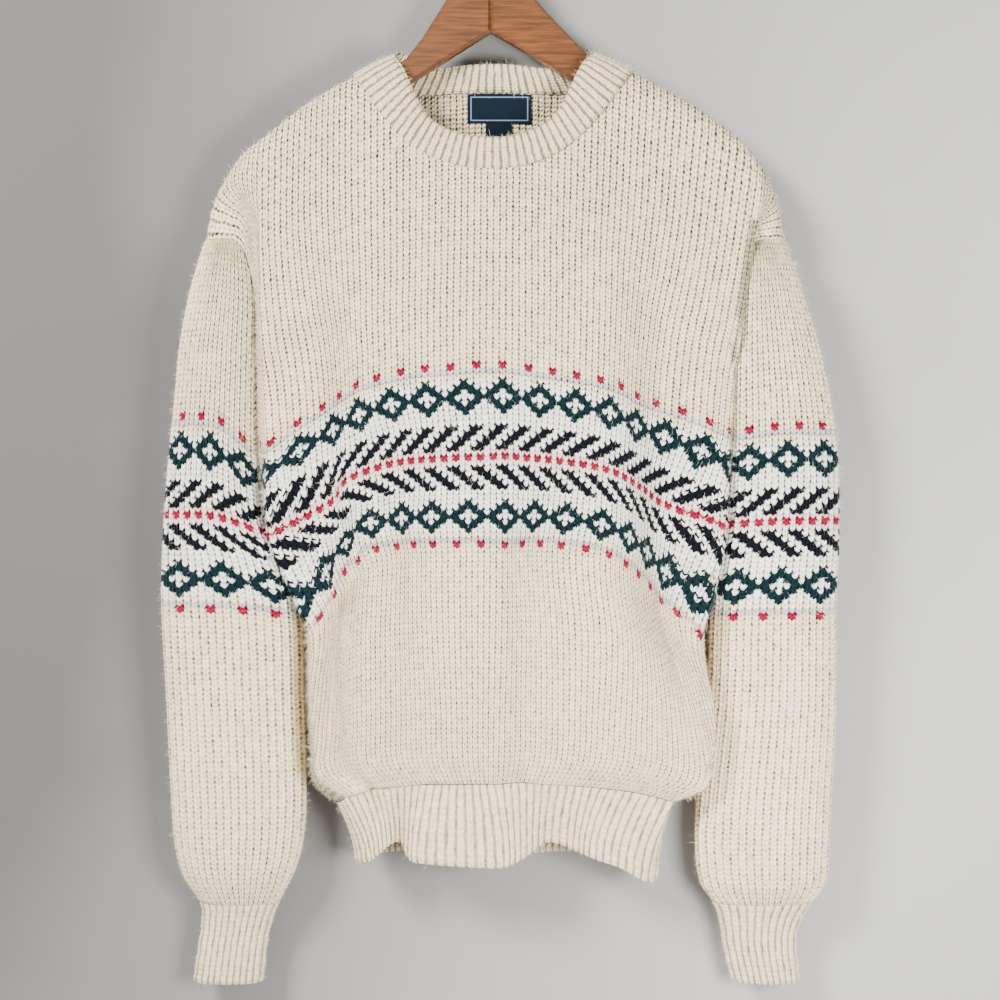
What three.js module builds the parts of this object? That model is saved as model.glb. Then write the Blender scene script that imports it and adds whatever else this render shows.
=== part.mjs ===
// A fair isle jumper hanging on a wooden hanger, in millimetres, +Z up.
// The origin is the inside top of the hanger's hook. The front of the jumper faces -Y.
// Left and right are as seen from the front, so left is -X.
import * as THREE from 'three';

// Driving dimensions
const STITCH = 5.2;              // width of one stitch
const ROW = 4.13;                // height of one row of stitches
const WALL = 3;                  // thickness of the knitted cloth
const SEAM = 0.3;                // gap between sewn pieces
const HALF_WIDTH = 50 * STITCH;  // half of each body panel, laid flat
const LENGTH = 148 * ROW;        // shoulder to the start of the hem rib
const ZERO_Z = -161;             // height of the panels' row zero at the centre
const NECK_HALF = 125;           // half the width of the neck seam, along the cloth
const FRONT_NECK = 92;           // drop of the neck edge at the centre front
const BACK_NECK = 17;            // drop of the neck edge at the centre back
const SHOULDER_SLOPE = 45;       // rows cast off between neck and shoulder tip
const RIDGE_Y = 2;               // depth of the shoulder seams
const RIDGE_ROUND = 22;          // reach of the round-over at the shoulder seams
const BACK_Y = 22;               // outside of the back
const TIP_Z = -312.6;            // height of both shoulder tips
const UNDERARM_Z = -583.5;       // height of both underarms
const UNDERARM_ROW = 345;        // cloth above the underarm at the side, in mm
const CUFF_Z = -880;             // where the cuffs start
const CUFF_END_Z = -949;         // lower edge of the cuffs
const RIB_RAISE = 1.2;           // how far the ribs stand up
const HEM_RIBS = 50;             // ribs across the front hem, and across the back
const CUFF_RIBS = 22;            // ribs round each cuff
const NECK_RIBS = 80;            // ribs round the neckband
const BAND_FRONT = 29;           // seam to fold of the neckband at the front
const BAND_SIDE = 38;            // the same over the shoulders
const BAND_BACK = 24;            // the same at the back

// Values down the body. left and right are the half widths that show at the two visible
// limits, sag is how far the rows fall there, curve is the power of that fall.
const VISIBLE_LEFT = 40 * STITCH;
const VISIBLE_RIGHT = 45 * STITCH;
const SAG_AT = 38 * STITCH;
const BODY_COLUMNS = ['down', 'left', 'right', 'sagLeft', 'sagRight', 'curve', 'depth'];
const BODY = [
  [0, 196, 222, 62, 58, 2.4, 20],
  [90, 196, 218, 61, 56, 2.4, 25],
  [180, 193, 208, 60, 52, 2.4, 38],
  [264, 188, 202, 60, 48, 2.4, 44],
  [339, 188, 198, 49, 47, 2.5, 47],
  [370, 172, 190, 52, 47, 2.9, 48],
  [413, 151, 176, 60, 47, 3.4, 48],
  [480, 150, 188, 44, 40, 3.4, 48],
  [550, 148, 186, 22, 24, 3.0, 46],
  [590, 146, 180, 12, 16, 2.6, 40],
  [611.3, 122, 154, 10, 9, 3, 35],
];

// The large soft folds of the front. from and to are places across the cloth at the top
// and the foot of a fold, start and end are how far down it runs, trough and step are
// its depth, slide is how far the cloth outside it has dropped, width is its half width.
const FOLD_COLUMNS = ['from', 'to', 'start', 'end', 'trough', 'step', 'slide', 'width'];
const FRONT_FOLDS = [
  [-140, -140, 300, 425, 0, 12, 13, 7],
  [-135, -132, 170, 330, 5, 10, 0, 16],
  [140, 150, 150, 400, 0, 14, 0, 22],
  [-177, -170, 400, 650, 13, 0, 0, 12],
  [-92, -96, 470, 680, 5, 0, 0, 14],
  [26, 42, 385, 680, 12, 0, 0, 10],
  [185, 190, 440, 640, 4, 0, 0, 13],
];
const BACK_FOLDS = [
  [-120, -105, 140, 660, 5, 0, 0, 18],
  [35, 50, 300, 680, 7, 0, 0, 15],
  [150, 140, 200, 600, 4, 0, 0, 20],
];

// Shoulder seams: along is the place across the cloth, x and z where it lies.
const SHOULDER_COLUMNS = ['along', 'xLeft', 'zLeft', 'xRight', 'zRight'];
const SHOULDER = [
  [125, -118, -169.5, 122, -166],
  [150, -141, -182, 147, -179],
  [180, -168, -200, 178, -197],
  [205, -193, -220, 204, -216],
  [225, -212, -235.5, 225, -235.5],
  [240, -227, -257, 237, -256],
  [250, -238, -280, 246, -280],
  [260, -246, -312.6, 252.8, -312.6],
];

// Side seams below the underarm, by height.
const SIDE_COLUMNS = ['z', 'left', 'right', 'y'];
const SIDE = [
  [-583.5, -173.6, 193.1, -8],
  [-620, -159, 182.5, -7],
  [-700, -155, 178.5, -6],
  [-745, -153, 175, -6],
  [-775, -149, 168, -6],
  [-791, -131, 149, -5],
];

// Both sleeves and cuffs, by height: where the tube's two sides lie, and half its depth.
const TUBE_COLUMNS = ['z', 'near', 'far', 'deep'];
const LEFT_TUBE = [
  [-312.6, -246, -207, 20],
  [-334, -251.2, -201.3, 26],
  [-361.6, -258, -197.4, 29],
  [-404.6, -265.6, -197, 30],
  [-447.6, -269.6, -197.3, 30],
  [-490.6, -274, -197, 30],
  [-533.6, -277.8, -194, 30],
  [-560, -279.4, -188, 30],
  [-583.5, -280.4, -174, 30],
  [-619.6, -281.4, -163, 29],
  [-705.6, -277.4, -160, 27],
  [-791.6, -273.5, -158.5, 25],
  [-830.3, -270.5, -162, 24],
  [-856, -264, -170.3, 21.5],
  [-880, -250.5, -183, 16.5],
  [-897, -249.6, -189.5, 14.5],
  [-915.4, -252, -193.5, 14],
  [-949, -257, -197, 14],
];
const RIGHT_TUBE = [
  [-312.6, 216.7, 252.8, 20],
  [-334, 213.5, 259.7, 26],
  [-361.6, 209.8, 267.4, 29],
  [-404.6, 205.8, 280.3, 30],
  [-447.6, 204, 289.8, 30],
  [-490.6, 202.9, 295.4, 30],
  [-533.6, 200.3, 297, 30],
  [-583.5, 193.5, 296.5, 30],
  [-619.6, 188, 294.5, 29],
  [-705.6, 184.5, 294.9, 27],
  [-791.6, 175.8, 291.5, 25],
  [-830.3, 174.5, 290, 24],
  [-862, 179.5, 287.5, 21.5],
  [-880, 191.5, 276.5, 17],
  [-897, 197.5, 267, 14.5],
  [-915.4, 200.3, 263.4, 14],
  [-949, 208, 266.8, 14],
];

// Lower edge of the hem rib. across runs from -1 at the left side seam to 1 at the right.
const HEM_COLUMNS = ['across', 'x', 'y', 'z'];
const FRONT_HEM = [
  [-1, -112, -4, -838],
  [-0.92, -115, -14, -842],
  [-0.8, -103, -30, -838.5],
  [-0.64, -89, -34, -827],
  [-0.5, -77, -21, -824],
  [-0.43, -71, -30, -835],
  [-0.34, -62, -38, -838],
  [0, 7.7, -42, -841.5],
  [0.12, 23, -38, -837],
  [0.22, 35.4, -28, -831],
  [0.32, 48, -20, -824.5],
  [0.44, 66.5, -30, -827.6],
  [0.6, 85, -37, -834.3],
  [0.76, 110, -39, -842.7],
  [0.88, 129.5, -35, -854],
  [0.95, 140.5, -22, -855],
  [1, 143, -4, -846],
];
const BACK_HEM = [
  [-1, -112, -4, -838],
  [-0.9, -110, 10, -841],
  [-0.6, -76, 18, -838],
  [-0.25, -28, 14, -836],
  [0.1, 20, 19, -841],
  [0.4, 62, 13, -838],
  [0.7, 104, 18, -843],
  [0.9, 134, 10, -850],
  [1, 143, -4, -846],
];

// Wooden arms: out is the distance from the hanger's centre line.
const ARM_COLUMNS = ['out', 'topLeft', 'footLeft', 'topRight', 'footRight'];
const ARM = [
  [0.2, -65, -132, -65, -132],
  [16, -72, -142, -71, -141],
  [38, -104, -156, -104, -154],
  [60, -139, -170, -128, -167],
  [74, -156, -178.5, -142.5, -175.5],
  [95, -167.5, -190, -163.5, -188],
  [120, -180.5, -201, -175.5, -199],
  [141, -190.5, -210, -184.5, -206.5],
  [170, -210, -226, -201, -219],
  [200, -234.5, -245.5, -222, -235],
  [213, -246.5, -252.5, -232.5, -241.5],
];
const ARM_THICK = 13;
const ARM_BEVEL = 2.5;

// Hook
const WIRE = 4.2;                // thickness of the hook's wire
const HOOK_INSIDE = 21;          // inside radius of the hook's loop
const HOOK_FOOT_Z = -64.7;       // where the wire leaves the wood

// Label, on the inside of the back
const LABEL = { x: 7.5, width: 59, top: -179.5, height: 26, thick: 1 };
const TAB = { x: 6.8, width: 24, top: -205.8, height: 11, thick: 0.8 };

// Rows of named columns, read at any place along the first column by a smooth curve
// through the rows.
function curveThrough(rows, columns) {
  const keys = rows.map((row) => row[0]);
  const order = keys[0] < keys[keys.length - 1] ? 1 : -1;
  const slope = (column, i) => {
    const before = rows[Math.max(i - 1, 0)];
    const after = rows[Math.min(i + 1, rows.length - 1)];
    return (after[column] - before[column]) / (after[0] - before[0]);
  };
  return (at) => {
    let i = 0;
    while (i < rows.length - 2 && order * (at - keys[i + 1]) > 0) i += 1;
    const span = keys[i + 1] - keys[i];
    const t = Math.min(Math.max((at - keys[i]) / span, 0), 1);
    const found = {};
    columns.forEach((name, column) => {
      const a = rows[i][column];
      const b = rows[i + 1][column];
      found[name] = (2 * t ** 3 - 3 * t * t + 1) * a + (3 * t * t - 2 * t ** 3) * b
        + (t ** 3 - 2 * t * t + t) * span * slope(column, i)
        + (t ** 3 - t * t) * span * slope(column, i + 1);
    });
    return found;
  };
}

const bodyAt = curveThrough(BODY, BODY_COLUMNS);
const shoulderAt = curveThrough(SHOULDER, SHOULDER_COLUMNS);
const sideAt = curveThrough(SIDE, SIDE_COLUMNS);
const tubeAt = { left: curveThrough(LEFT_TUBE, TUBE_COLUMNS), right: curveThrough(RIGHT_TUBE, TUBE_COLUMNS) };
const frontHemAt = curveThrough(FRONT_HEM, HEM_COLUMNS);
const backHemAt = curveThrough(BACK_HEM, HEM_COLUMNS);
const armAt = curveThrough(ARM, ARM_COLUMNS);

const vector = (x, y, z) => new THREE.Vector3(x, y, z);
const mix = (a, b, t) => a + (b - a) * t;

function smooth(t) {
  const u = Math.min(Math.max(t, 0), 1);
  return u * u * (3 - 2 * u);
}

// Sleeve tube: a rounded box section. angle is 0 at -X, a quarter turn at the front.
const SQUARENESS = 2 / 2.3;

function tubePoint(side, z, angle, inset = 0) {
  const section = tubeAt[side](z);
  const middle = (section.near + section.far) / 2;
  const wide = (section.far - section.near) / 2 - inset;
  const deep = section.deep - inset;
  const bend = (value) => Math.sign(value) * Math.abs(value) ** SQUARENESS;
  return vector(middle - wide * bend(Math.cos(angle)), BACK_Y - section.deep - deep * bend(Math.sin(angle)), z);
}

// Armhole seam: it crosses the top of the sleeve and drops steeply down the inner side.
// inner is the angle from the inner side of the tube, from 0 to half a turn.
const ARMHOLE_ANGLE = 0.36;

function armholeZ(inner) {
  return TIP_Z - (TIP_Z - UNDERARM_Z) * Math.exp(-((inner / ARMHOLE_ANGLE) ** 1.5));
}

function armholePoint(side, inner, face) {
  const angle = side === 'left' ? Math.PI - inner : inner;
  return tubePoint(side, armholeZ(inner), face * angle);
}

// The seam as places along its length, so that the cloth of the body runs evenly on it.
// Both the sleeve and the body have a corner at each of its steps.
const SEAM_STEPS = 12;

const seamAngle = (step) => Math.PI * (1 - step / SEAM_STEPS) ** 1.7;

function armholeCurve(side, face) {
  const points = [];
  const shares = [0];
  for (let i = 0; i <= SEAM_STEPS; i += 1) {
    points.push(armholePoint(side, seamAngle(i), face));
    if (i > 0) shares.push(shares[i - 1] + points[i].distanceTo(points[i - 1]));
  }
  const whole = shares[SEAM_STEPS];
  return { points, shares: shares.map((length) => length / whole) };
}

const seamShares = armholeCurve('left', 1).shares;
const armhole = {};
for (const side of ['left', 'right']) {
  armhole[side] = { 1: armholeCurve(side, 1).points, '-1': armholeCurve(side, -1).points };
}

function alongSeam(side, face, share) {
  const at = Math.min(Math.max(share, 0), 1);
  let i = 1;
  while (i < SEAM_STEPS && seamShares[i] < at) i += 1;
  const t = (at - seamShares[i - 1]) / (seamShares[i] - seamShares[i - 1]);
  return armhole[side][face][i - 1].clone().lerp(armhole[side][face][i], t);
}

// Edge of a body panel: the armhole seam down to the underarm, then the side seam.
function edgePoint(side, down, face) {
  const towards = side === 'left' ? 1 : -1;
  if (down < UNDERARM_ROW) {
    const share = (down - SHOULDER_SLOPE) / (UNDERARM_ROW - SHOULDER_SLOPE);
    const point = alongSeam(side, face, share);
    return point.add(vector(towards * (SEAM + 0.1), 0, SEAM + 0.1));
  }
  const foot = SIDE[SIDE.length - 1][0];
  const z = mix(UNDERARM_Z, foot, (down - UNDERARM_ROW) / (LENGTH - UNDERARM_ROW));
  const found = sideAt(z);
  return vector(found[side] + towards * 0.1, found.y - face * SEAM / 2, z);
}

// Sums up the folds of a panel at a place: how far the cloth goes in, how far it drops,
// and how much of its width the folds have used up on the way out from the centre.
function foldsAt(folds, across, down) {
  const sum = { inward: 0, slide: 0, used: 0, usedAll: 0 };
  for (const [from, to, start, end, trough, step, slide, width] of folds) {
    const side = Math.sign(from);
    const power = smooth((down - start) / 40) * smooth((end - down) / 40);
    const middle = mix(from, to, Math.min(Math.max((down - start) / (end - start), 0), 1));
    const u = (across - middle) / width;
    const past = (1 + Math.tanh(side * u)) / 2;
    const taken = power * (0.5 * trough ** 2 + 0.33 * step ** 2) / width;
    sum.inward += power * (trough * Math.exp(-u * u / 2) + step * past);
    sum.slide += power * slide * past;
    if (Math.sign(across) === side) {
      sum.used += taken * past;
      sum.usedAll += taken;
    }
  }
  return sum;
}

// Body panels in cloth coordinates: across from the centre, down from the shoulder.
// face is 1 for the front and -1 for the back.
function shoulderLine(across) {
  const out = Math.max(Math.abs(across) - NECK_HALF, 0) / (HALF_WIDTH - NECK_HALF);
  return SHOULDER_SLOPE * out ** 1.5;
}

function neckLine(across, face) {
  const depth = face > 0 ? FRONT_NECK : BACK_NECK;
  const power = face > 0 ? 2.3 : 4;
  return depth * (1 - Math.abs(across / NECK_HALF) ** power);
}

function topLine(across, face) {
  return Math.abs(across) < NECK_HALF ? neckLine(across, face) : shoulderLine(across);
}

// Cloth of the body lies against the sleeve and not through it: a place that would be
// inside the sleeve's tube is moved sideways to its surface.
const BESIDE = 1.8;               // distance kept there

function besideSleeve(side, point) {
  const section = tubeAt[side](point.z);
  const share = Math.abs(point.y - BACK_Y + section.deep) / section.deep;
  if (share >= 1 || point.z > TIP_Z) return point;
  const inner = Math.asin(share ** (1 / SQUARENESS));
  if (point.z > armholeZ(inner)) return point;
  const middle = (section.near + section.far) / 2;
  const wide = (section.far - section.near) / 2 + BESIDE;
  const reach = wide * Math.cos(inner) ** SQUARENESS;
  if (side === 'left') point.x = Math.max(point.x, middle + reach);
  else point.x = Math.min(point.x, middle - reach);
  return point;
}

function plainPanel(across, down, face) {
  const side = across < 0 ? 'left' : 'right';
  const limit = across < 0 ? VISIBLE_LEFT : VISIBLE_RIGHT;
  const inside = Math.sign(across) * Math.min(Math.abs(across), limit);
  const row = bodyAt(down);
  const folds = foldsAt(face > 0 ? FRONT_FOLDS : BACK_FOLDS, inside, down);
  const reach = (Math.abs(inside) - folds.used) / (limit - folds.usedAll);
  const sag = (across < 0 ? row.sagLeft : row.sagRight) * (Math.abs(inside) / SAG_AT) ** row.curve;
  const depth = face > 0 ? -row.depth : BACK_Y;
  const point = vector(
    Math.sign(across) * row[side] * reach,
    depth + face * folds.inward,
    ZERO_Z - down - sag - folds.slide,
  );
  const past = Math.abs(across) - limit;
  if (past <= 0) return point;
  const u = past / (HALF_WIDTH - limit);
  const edge = edgePoint(side, down, face);
  const early = 1 - (1 - u) ** 2;
  const bent = vector(mix(point.x, edge.x, early), mix(point.y, edge.y, u ** 1.2), mix(point.z, edge.z, early));
  return u < 1 ? besideSleeve(side, bent) : bent;
}

function panelPoint(across, down, face) {
  const side = across < 0 ? 'Left' : 'Right';
  const far = Math.max(Math.abs(across), NECK_HALF);
  const ridge = shoulderAt(far);
  const start = plainPanel(Math.sign(across) * far, shoulderLine(far), face);
  const below = Math.max(down - shoulderLine(across), 0);
  const fade = Math.exp(-((below / 60) ** 1.5)) * smooth((Math.abs(across) - 50) / (NECK_HALF - 50));
  const point = plainPanel(across, down, face);
  point.x += (ridge[`x${side}`] - start.x) * fade;
  point.z += (ridge[`z${side}`] - start.z) * fade;
  const round = Math.sqrt(1 - (1 - Math.min(below / RIDGE_ROUND, 1)) ** 2);
  point.y = mix(RIDGE_Y - face * SEAM / 2, point.y, round);
  return point;
}

// Outward direction of a surface given by two running values, from nearby points.
function outward(surface, a, b, stepA, stepB) {
  const alongA = surface(a + stepA, b).sub(surface(a - stepA, b));
  const alongB = surface(a, b + stepB).sub(surface(a, b - stepB));
  return alongB.cross(alongA).normalize();
}

// One closed cloth wall from a grid of outer and inner points. Columns run to the right
// as seen from outside, and rows run down. A tube's last column joins its first. A column
// may start lower than row zero, at its row firstRow.
function clothWall(name, columns, rows, outer, inner, material, isTube = false, firstRow = () => 0) {
  const across = isTube ? columns : columns + 1;
  const positions = [];
  for (const face of [outer, inner]) {
    for (let i = 0; i < across; i += 1) {
      for (let j = 0; j <= rows; j += 1) positions.push(...face(i, j).toArray());
    }
  }
  const half = across * (rows + 1);
  const place = (i, j, isInner) => {
    const column = i % across;
    return column * (rows + 1) + Math.max(j, firstRow(column)) + (isInner ? half : 0);
  };
  const index = [];
  const triangle = (a, b, c) => {
    if (a !== b && b !== c && c !== a) index.push(a, b, c);
  };
  const quad = (a, b, c, d) => {
    triangle(a, b, c);
    triangle(a, c, d);
  };
  for (let i = 0; i < columns; i += 1) {
    for (let j = 0; j < rows; j += 1) {
      quad(place(i, j), place(i, j + 1), place(i + 1, j + 1), place(i + 1, j));
      quad(place(i, j, 1), place(i + 1, j, 1), place(i + 1, j + 1, 1), place(i, j + 1, 1));
    }
    quad(place(i, 0), place(i + 1, 0), place(i + 1, 0, 1), place(i, 0, 1));
    quad(place(i, rows), place(i, rows, 1), place(i + 1, rows, 1), place(i + 1, rows));
  }
  if (!isTube) {
    for (let j = 0; j < rows; j += 1) {
      quad(place(0, j), place(0, j, 1), place(0, j + 1, 1), place(0, j + 1));
      quad(place(columns, j), place(columns, j + 1), place(columns, j + 1, 1), place(columns, j, 1));
    }
  }
  const geometry = new THREE.BufferGeometry();
  geometry.setAttribute('position', new THREE.Float32BufferAttribute(positions, 3));
  geometry.setIndex(index);
  geometry.computeVertexNormals();
  const mesh = new THREE.Mesh(geometry, material);
  mesh.name = name;
  return mesh;
}

const wool = new THREE.MeshStandardMaterial({ color: 0xece4d2, roughness: 0.95, metalness: 0 });
const ribWool = new THREE.MeshStandardMaterial({ color: 0xe8dfcb, roughness: 0.95, metalness: 0 });
const wovenNavy = new THREE.MeshStandardMaterial({ color: 0x1b3550, roughness: 0.6, metalness: 0 });
const wood = new THREE.MeshStandardMaterial({ color: 0xc79a66, roughness: 0.35, metalness: 0 });
const chrome = new THREE.MeshStandardMaterial({ color: 0xc8c8c8, roughness: 0.2, metalness: 1 });

// Front and back. The columns stand closer where the folds and the edges are.
function spread(count, limit, places) {
  const weight = (at) => 1 + places.reduce((sum, [middle, width, power]) => (
    sum + power * Math.exp(-(((at - middle) / width) ** 2))), 0);
  const fine = 400;
  const totals = [0];
  for (let i = 0; i < fine; i += 1) {
    totals.push(totals[i] + weight(mix(-limit, limit, (i + 0.5) / fine)));
  }
  return Array.from({ length: count + 1 }, (_, k) => {
    const wanted = totals[fine] * k / count;
    let i = 0;
    while (i < fine - 1 && totals[i + 1] < wanted) i += 1;
    const t = (wanted - totals[i]) / (totals[i + 1] - totals[i]);
    return mix(-limit, limit, (i + t) / fine);
  });
}

// Rows of a panel as shares of its length: one for each step of the armhole seam, and
// even ones below the underarm.
const LOWER_ROWS = 8;
const ABOVE = (UNDERARM_ROW - SHOULDER_SLOPE) / (LENGTH - SHOULDER_SLOPE);
const PANEL_ROWS = [
  ...seamShares.map((share) => share * ABOVE),
  ...Array.from({ length: LOWER_ROWS }, (_, k) => mix(ABOVE, 1, (k + 1) / LOWER_ROWS)),
];

// Columns that every panel has at the ends of the neck seam.
const AT_NECK_ENDS = [-125, -122.5, -117.5, 117.5, 122.5, 125];

function bodyPanel(face, count, closer) {
  const spaced = spread(count, HALF_WIDTH, closer);
  const apart = spaced.filter((place) => AT_NECK_ENDS.every((end) => Math.abs(place - end) > 3));
  const places = [...apart, ...AT_NECK_ENDS].sort((a, b) => a - b);
  const columns = places.length - 1;
  const rows = PANEL_ROWS.length - 1;
  const surface = (across, down) => panelPoint(across, down, face);
  const spot = (i, j) => {
    const across = face > 0 ? places[i] : -places[i];
    return [across, mix(topLine(across, face), LENGTH, PANEL_ROWS[j])];
  };
  const outer = (i, j) => surface(...spot(i, j));
  const inner = (i, j) => {
    const [across, down] = spot(i, j);
    const inside = Math.sign(across) * Math.min(Math.abs(across), HALF_WIDTH - 1);
    const above = Math.min(Math.max(down, topLine(inside, face) + 1), LENGTH - 1);
    const normal = outward(surface, inside, above, face * 0.8, 0.8);
    const point = outer(i, j);
    const onSideSeam = (i === 0 || i === columns) && down >= UNDERARM_ROW;
    const onShoulder = j === 0 && Math.abs(across) >= NECK_HALF;
    if (onSideSeam || onShoulder) normal.setY(0).normalize();
    if (j === rows || i === 0 || i === columns) normal.setZ(0).normalize();
    point.addScaledVector(normal, -WALL);
    const nearRidge = down - shoulderLine(across) < RIDGE_ROUND;
    if (nearRidge) point.y = face * Math.min(face * point.y, face * RIDGE_Y - SEAM / 2);
    return point;
  };
  return { columns, rows, outer, inner, across: (i) => spot(i, 0)[0] };
}

const panels = {
  front: bodyPanel(1, 26, [
    [-245, 25, 2.5], [245, 25, 2.5], [-172, 18, 1.5], [-138, 12, 1.5], [38, 18, 1.2], [-95, 12, 0.6],
  ]),
  back: bodyPanel(-1, 18, [[-245, 30, 1.6], [245, 30, 1.6]]),
};

const group = new THREE.Group();
for (const [name, panel] of Object.entries(panels)) {
  group.add(clothWall(name, panel.columns, panel.rows, panel.outer, panel.inner, wool));
}

// A place on a panel's upper or lower edge, on the straight lines between its corners.
function panelEdge(panel, row, across) {
  const sign = Math.sign(panel.across(panel.columns) - panel.across(0));
  let i = 0;
  while (i < panel.columns - 1 && sign * (across - panel.across(i + 1)) > 0) i += 1;
  const t = (across - panel.across(i)) / (panel.across(i + 1) - panel.across(i));
  return {
    outer: panel.outer(i, row).lerp(panel.outer(i + 1, row), t),
    inner: panel.inner(i, row).lerp(panel.inner(i + 1, row), t),
  };
}

// Sleeves: a tube whose upper edge is the armhole seam. The columns stand closer on the
// inner side, where that edge is steep.
const innerAngle = (steps) => seamAngle(SEAM_STEPS - steps);
const seamZ = (steps) => armholeZ(innerAngle(steps));

// Heights of the rows under the first: one at each steep step of the seam, one between
// two of them where they lie far apart, and even ones below the underarm.
const STEEP_STEPS = 5;
const BELOW_ROWS = 9;
const SLEEVE_LEVELS = [
  seamZ(5),
  seamZ(4),
  mix(seamZ(4), seamZ(3), 0.5),
  seamZ(3),
  mix(seamZ(3), seamZ(2), 0.5),
  seamZ(2),
  mix(seamZ(2), seamZ(1), 0.5),
  seamZ(1),
  seamZ(0),
  ...Array.from({ length: BELOW_ROWS }, (_, k) => mix(UNDERARM_Z, CUFF_Z, (k + 1) / BELOW_ROWS)),
];

function sleeve(side) {
  const columns = 2 * SEAM_STEPS;
  const rows = SLEEVE_LEVELS.length;
  const steps = (i) => Math.abs(i - SEAM_STEPS);
  const firstRow = (i) => (
    steps(i) > STEEP_STEPS ? 0 : SLEEVE_LEVELS.indexOf(seamZ(steps(i))) + 1);
  const at = (i, j, inset) => {
    const turn = Math.sign(i - SEAM_STEPS) * innerAngle(steps(i));
    const row = Math.max(j, firstRow(i));
    const z = row === 0 ? seamZ(steps(i)) : SLEEVE_LEVELS[row - 1];
    return tubePoint(side, z, (side === 'left' ? Math.PI : 0) + turn, inset);
  };
  const outer = (i, j) => at(i, j, 0);
  const inner = (i, j) => at(i, j, WALL);
  return clothWall(`sleeve_${side}`, columns, rows, outer, inner, wool, true, firstRow);
}

group.add(sleeve('left'));
group.add(sleeve('right'));

// Cuffs: every second column stands up as a rib, over a plain inside.
function cuff(side, rows) {
  const columns = 2 * CUFF_RIBS;
  const at = (i, j, inset) => {
    const z = mix(CUFF_Z - SEAM, CUFF_END_Z, j / rows);
    return tubePoint(side, z, (2 * Math.PI * i) / columns, inset);
  };
  const outer = (i, j) => at(i, j, i % 2 ? -RIB_RAISE / 2 : RIB_RAISE / 2);
  return clothWall(`cuff_${side}`, columns, rows, outer, (i, j) => at(i, j, WALL), ribWool, true);
}

group.add(cuff('left', 3));
group.add(cuff('right', 3));

// Hem rib: it carries on from the panel and draws in to the hem line.
function hemRib(name, face, rows) {
  const columns = 2 * HEM_RIBS;
  const panel = face > 0 ? panels.front : panels.back;
  const surface = (across, share) => {
    const top = panelEdge(panel, panel.rows, across).outer;
    const foot = (face > 0 ? frontHemAt : backHemAt)(across / HALF_WIDTH);
    const early = Math.sin(share * Math.PI / 2);
    return vector(
      mix(top.x, foot.x, early),
      mix(top.y, foot.y - face * SEAM / 2, share),
      mix(top.z - SEAM, foot.z, share),
    );
  };
  const spot = (i, j) => [face * mix(-HALF_WIDTH, HALF_WIDTH, i / columns), j / rows];
  const away = (i, j) => {
    const [across, share] = spot(i, j);
    const inside = Math.sign(across) * Math.min(Math.abs(across), HALF_WIDTH - 4);
    const normal = outward(surface, inside, Math.min(Math.max(share, 0.02), 0.98), face * 4, 0.02);
    if (i === 0 || i === columns) normal.setY(0).normalize();
    return normal;
  };
  const at = (i, j, inset, wanted) => {
    if (j > 0) return surface(...spot(i, j)).addScaledVector(away(i, j), -inset);
    const across = spot(i, 0)[0];
    const edge = panelEdge(panel, panel.rows, across);
    const heights = [-5, 5].map((reach) => panelEdge(panel, panel.rows, across + reach).outer.z);
    const lower = Math.max(edge.outer.z - Math.min(...heights), 0);
    return edge.outer.lerp(edge.inner, wanted).add(vector(0, 0, -2 * SEAM - lower));
  };
  const outer = (i, j) => at(i, j, i % 2 ? 0 : RIB_RAISE, i % 2 ? 0 : RIB_RAISE / WALL);
  return clothWall(name, columns, rows, outer, (i, j) => at(i, j, WALL, 1), ribWool);
}

group.add(hemRib('hem_rib_front', 1, 3));
group.add(hemRib('hem_rib_back', -1, 3));

// Neckband: a doubled rib that stands on the neck edges of the front and the back.
const BAND_ROWS = [1, 0.92, 0.6, 0.12, 0];
const BAND_THICK = 5.5;

// The neck edges of both panels as one loop of evenly spaced places.
function neckBase(count) {
  const fine = 200;
  const places = [];
  const lengths = [0];
  for (const face of [1, -1]) {
    for (let i = 0; i < fine; i += 1) {
      const across = face * mix(-NECK_HALF, NECK_HALF, i / fine);
      places.push(panelEdge(face > 0 ? panels.front : panels.back, 0, across));
    }
  }
  places.push(places[0]);
  for (let i = 1; i < places.length; i += 1) {
    lengths.push(lengths[i - 1] + places[i].outer.distanceTo(places[i - 1].outer));
  }
  let i = 1;
  return Array.from({ length: count }, (_, k) => {
    const wanted = lengths[lengths.length - 1] * k / count;
    while (lengths[i] < wanted) i += 1;
    const t = (wanted - lengths[i - 1]) / (lengths[i] - lengths[i - 1]);
    return {
      outer: places[i - 1].outer.clone().lerp(places[i].outer, t),
      inner: places[i - 1].inner.clone().lerp(places[i].inner, t),
    };
  });
}

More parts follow.
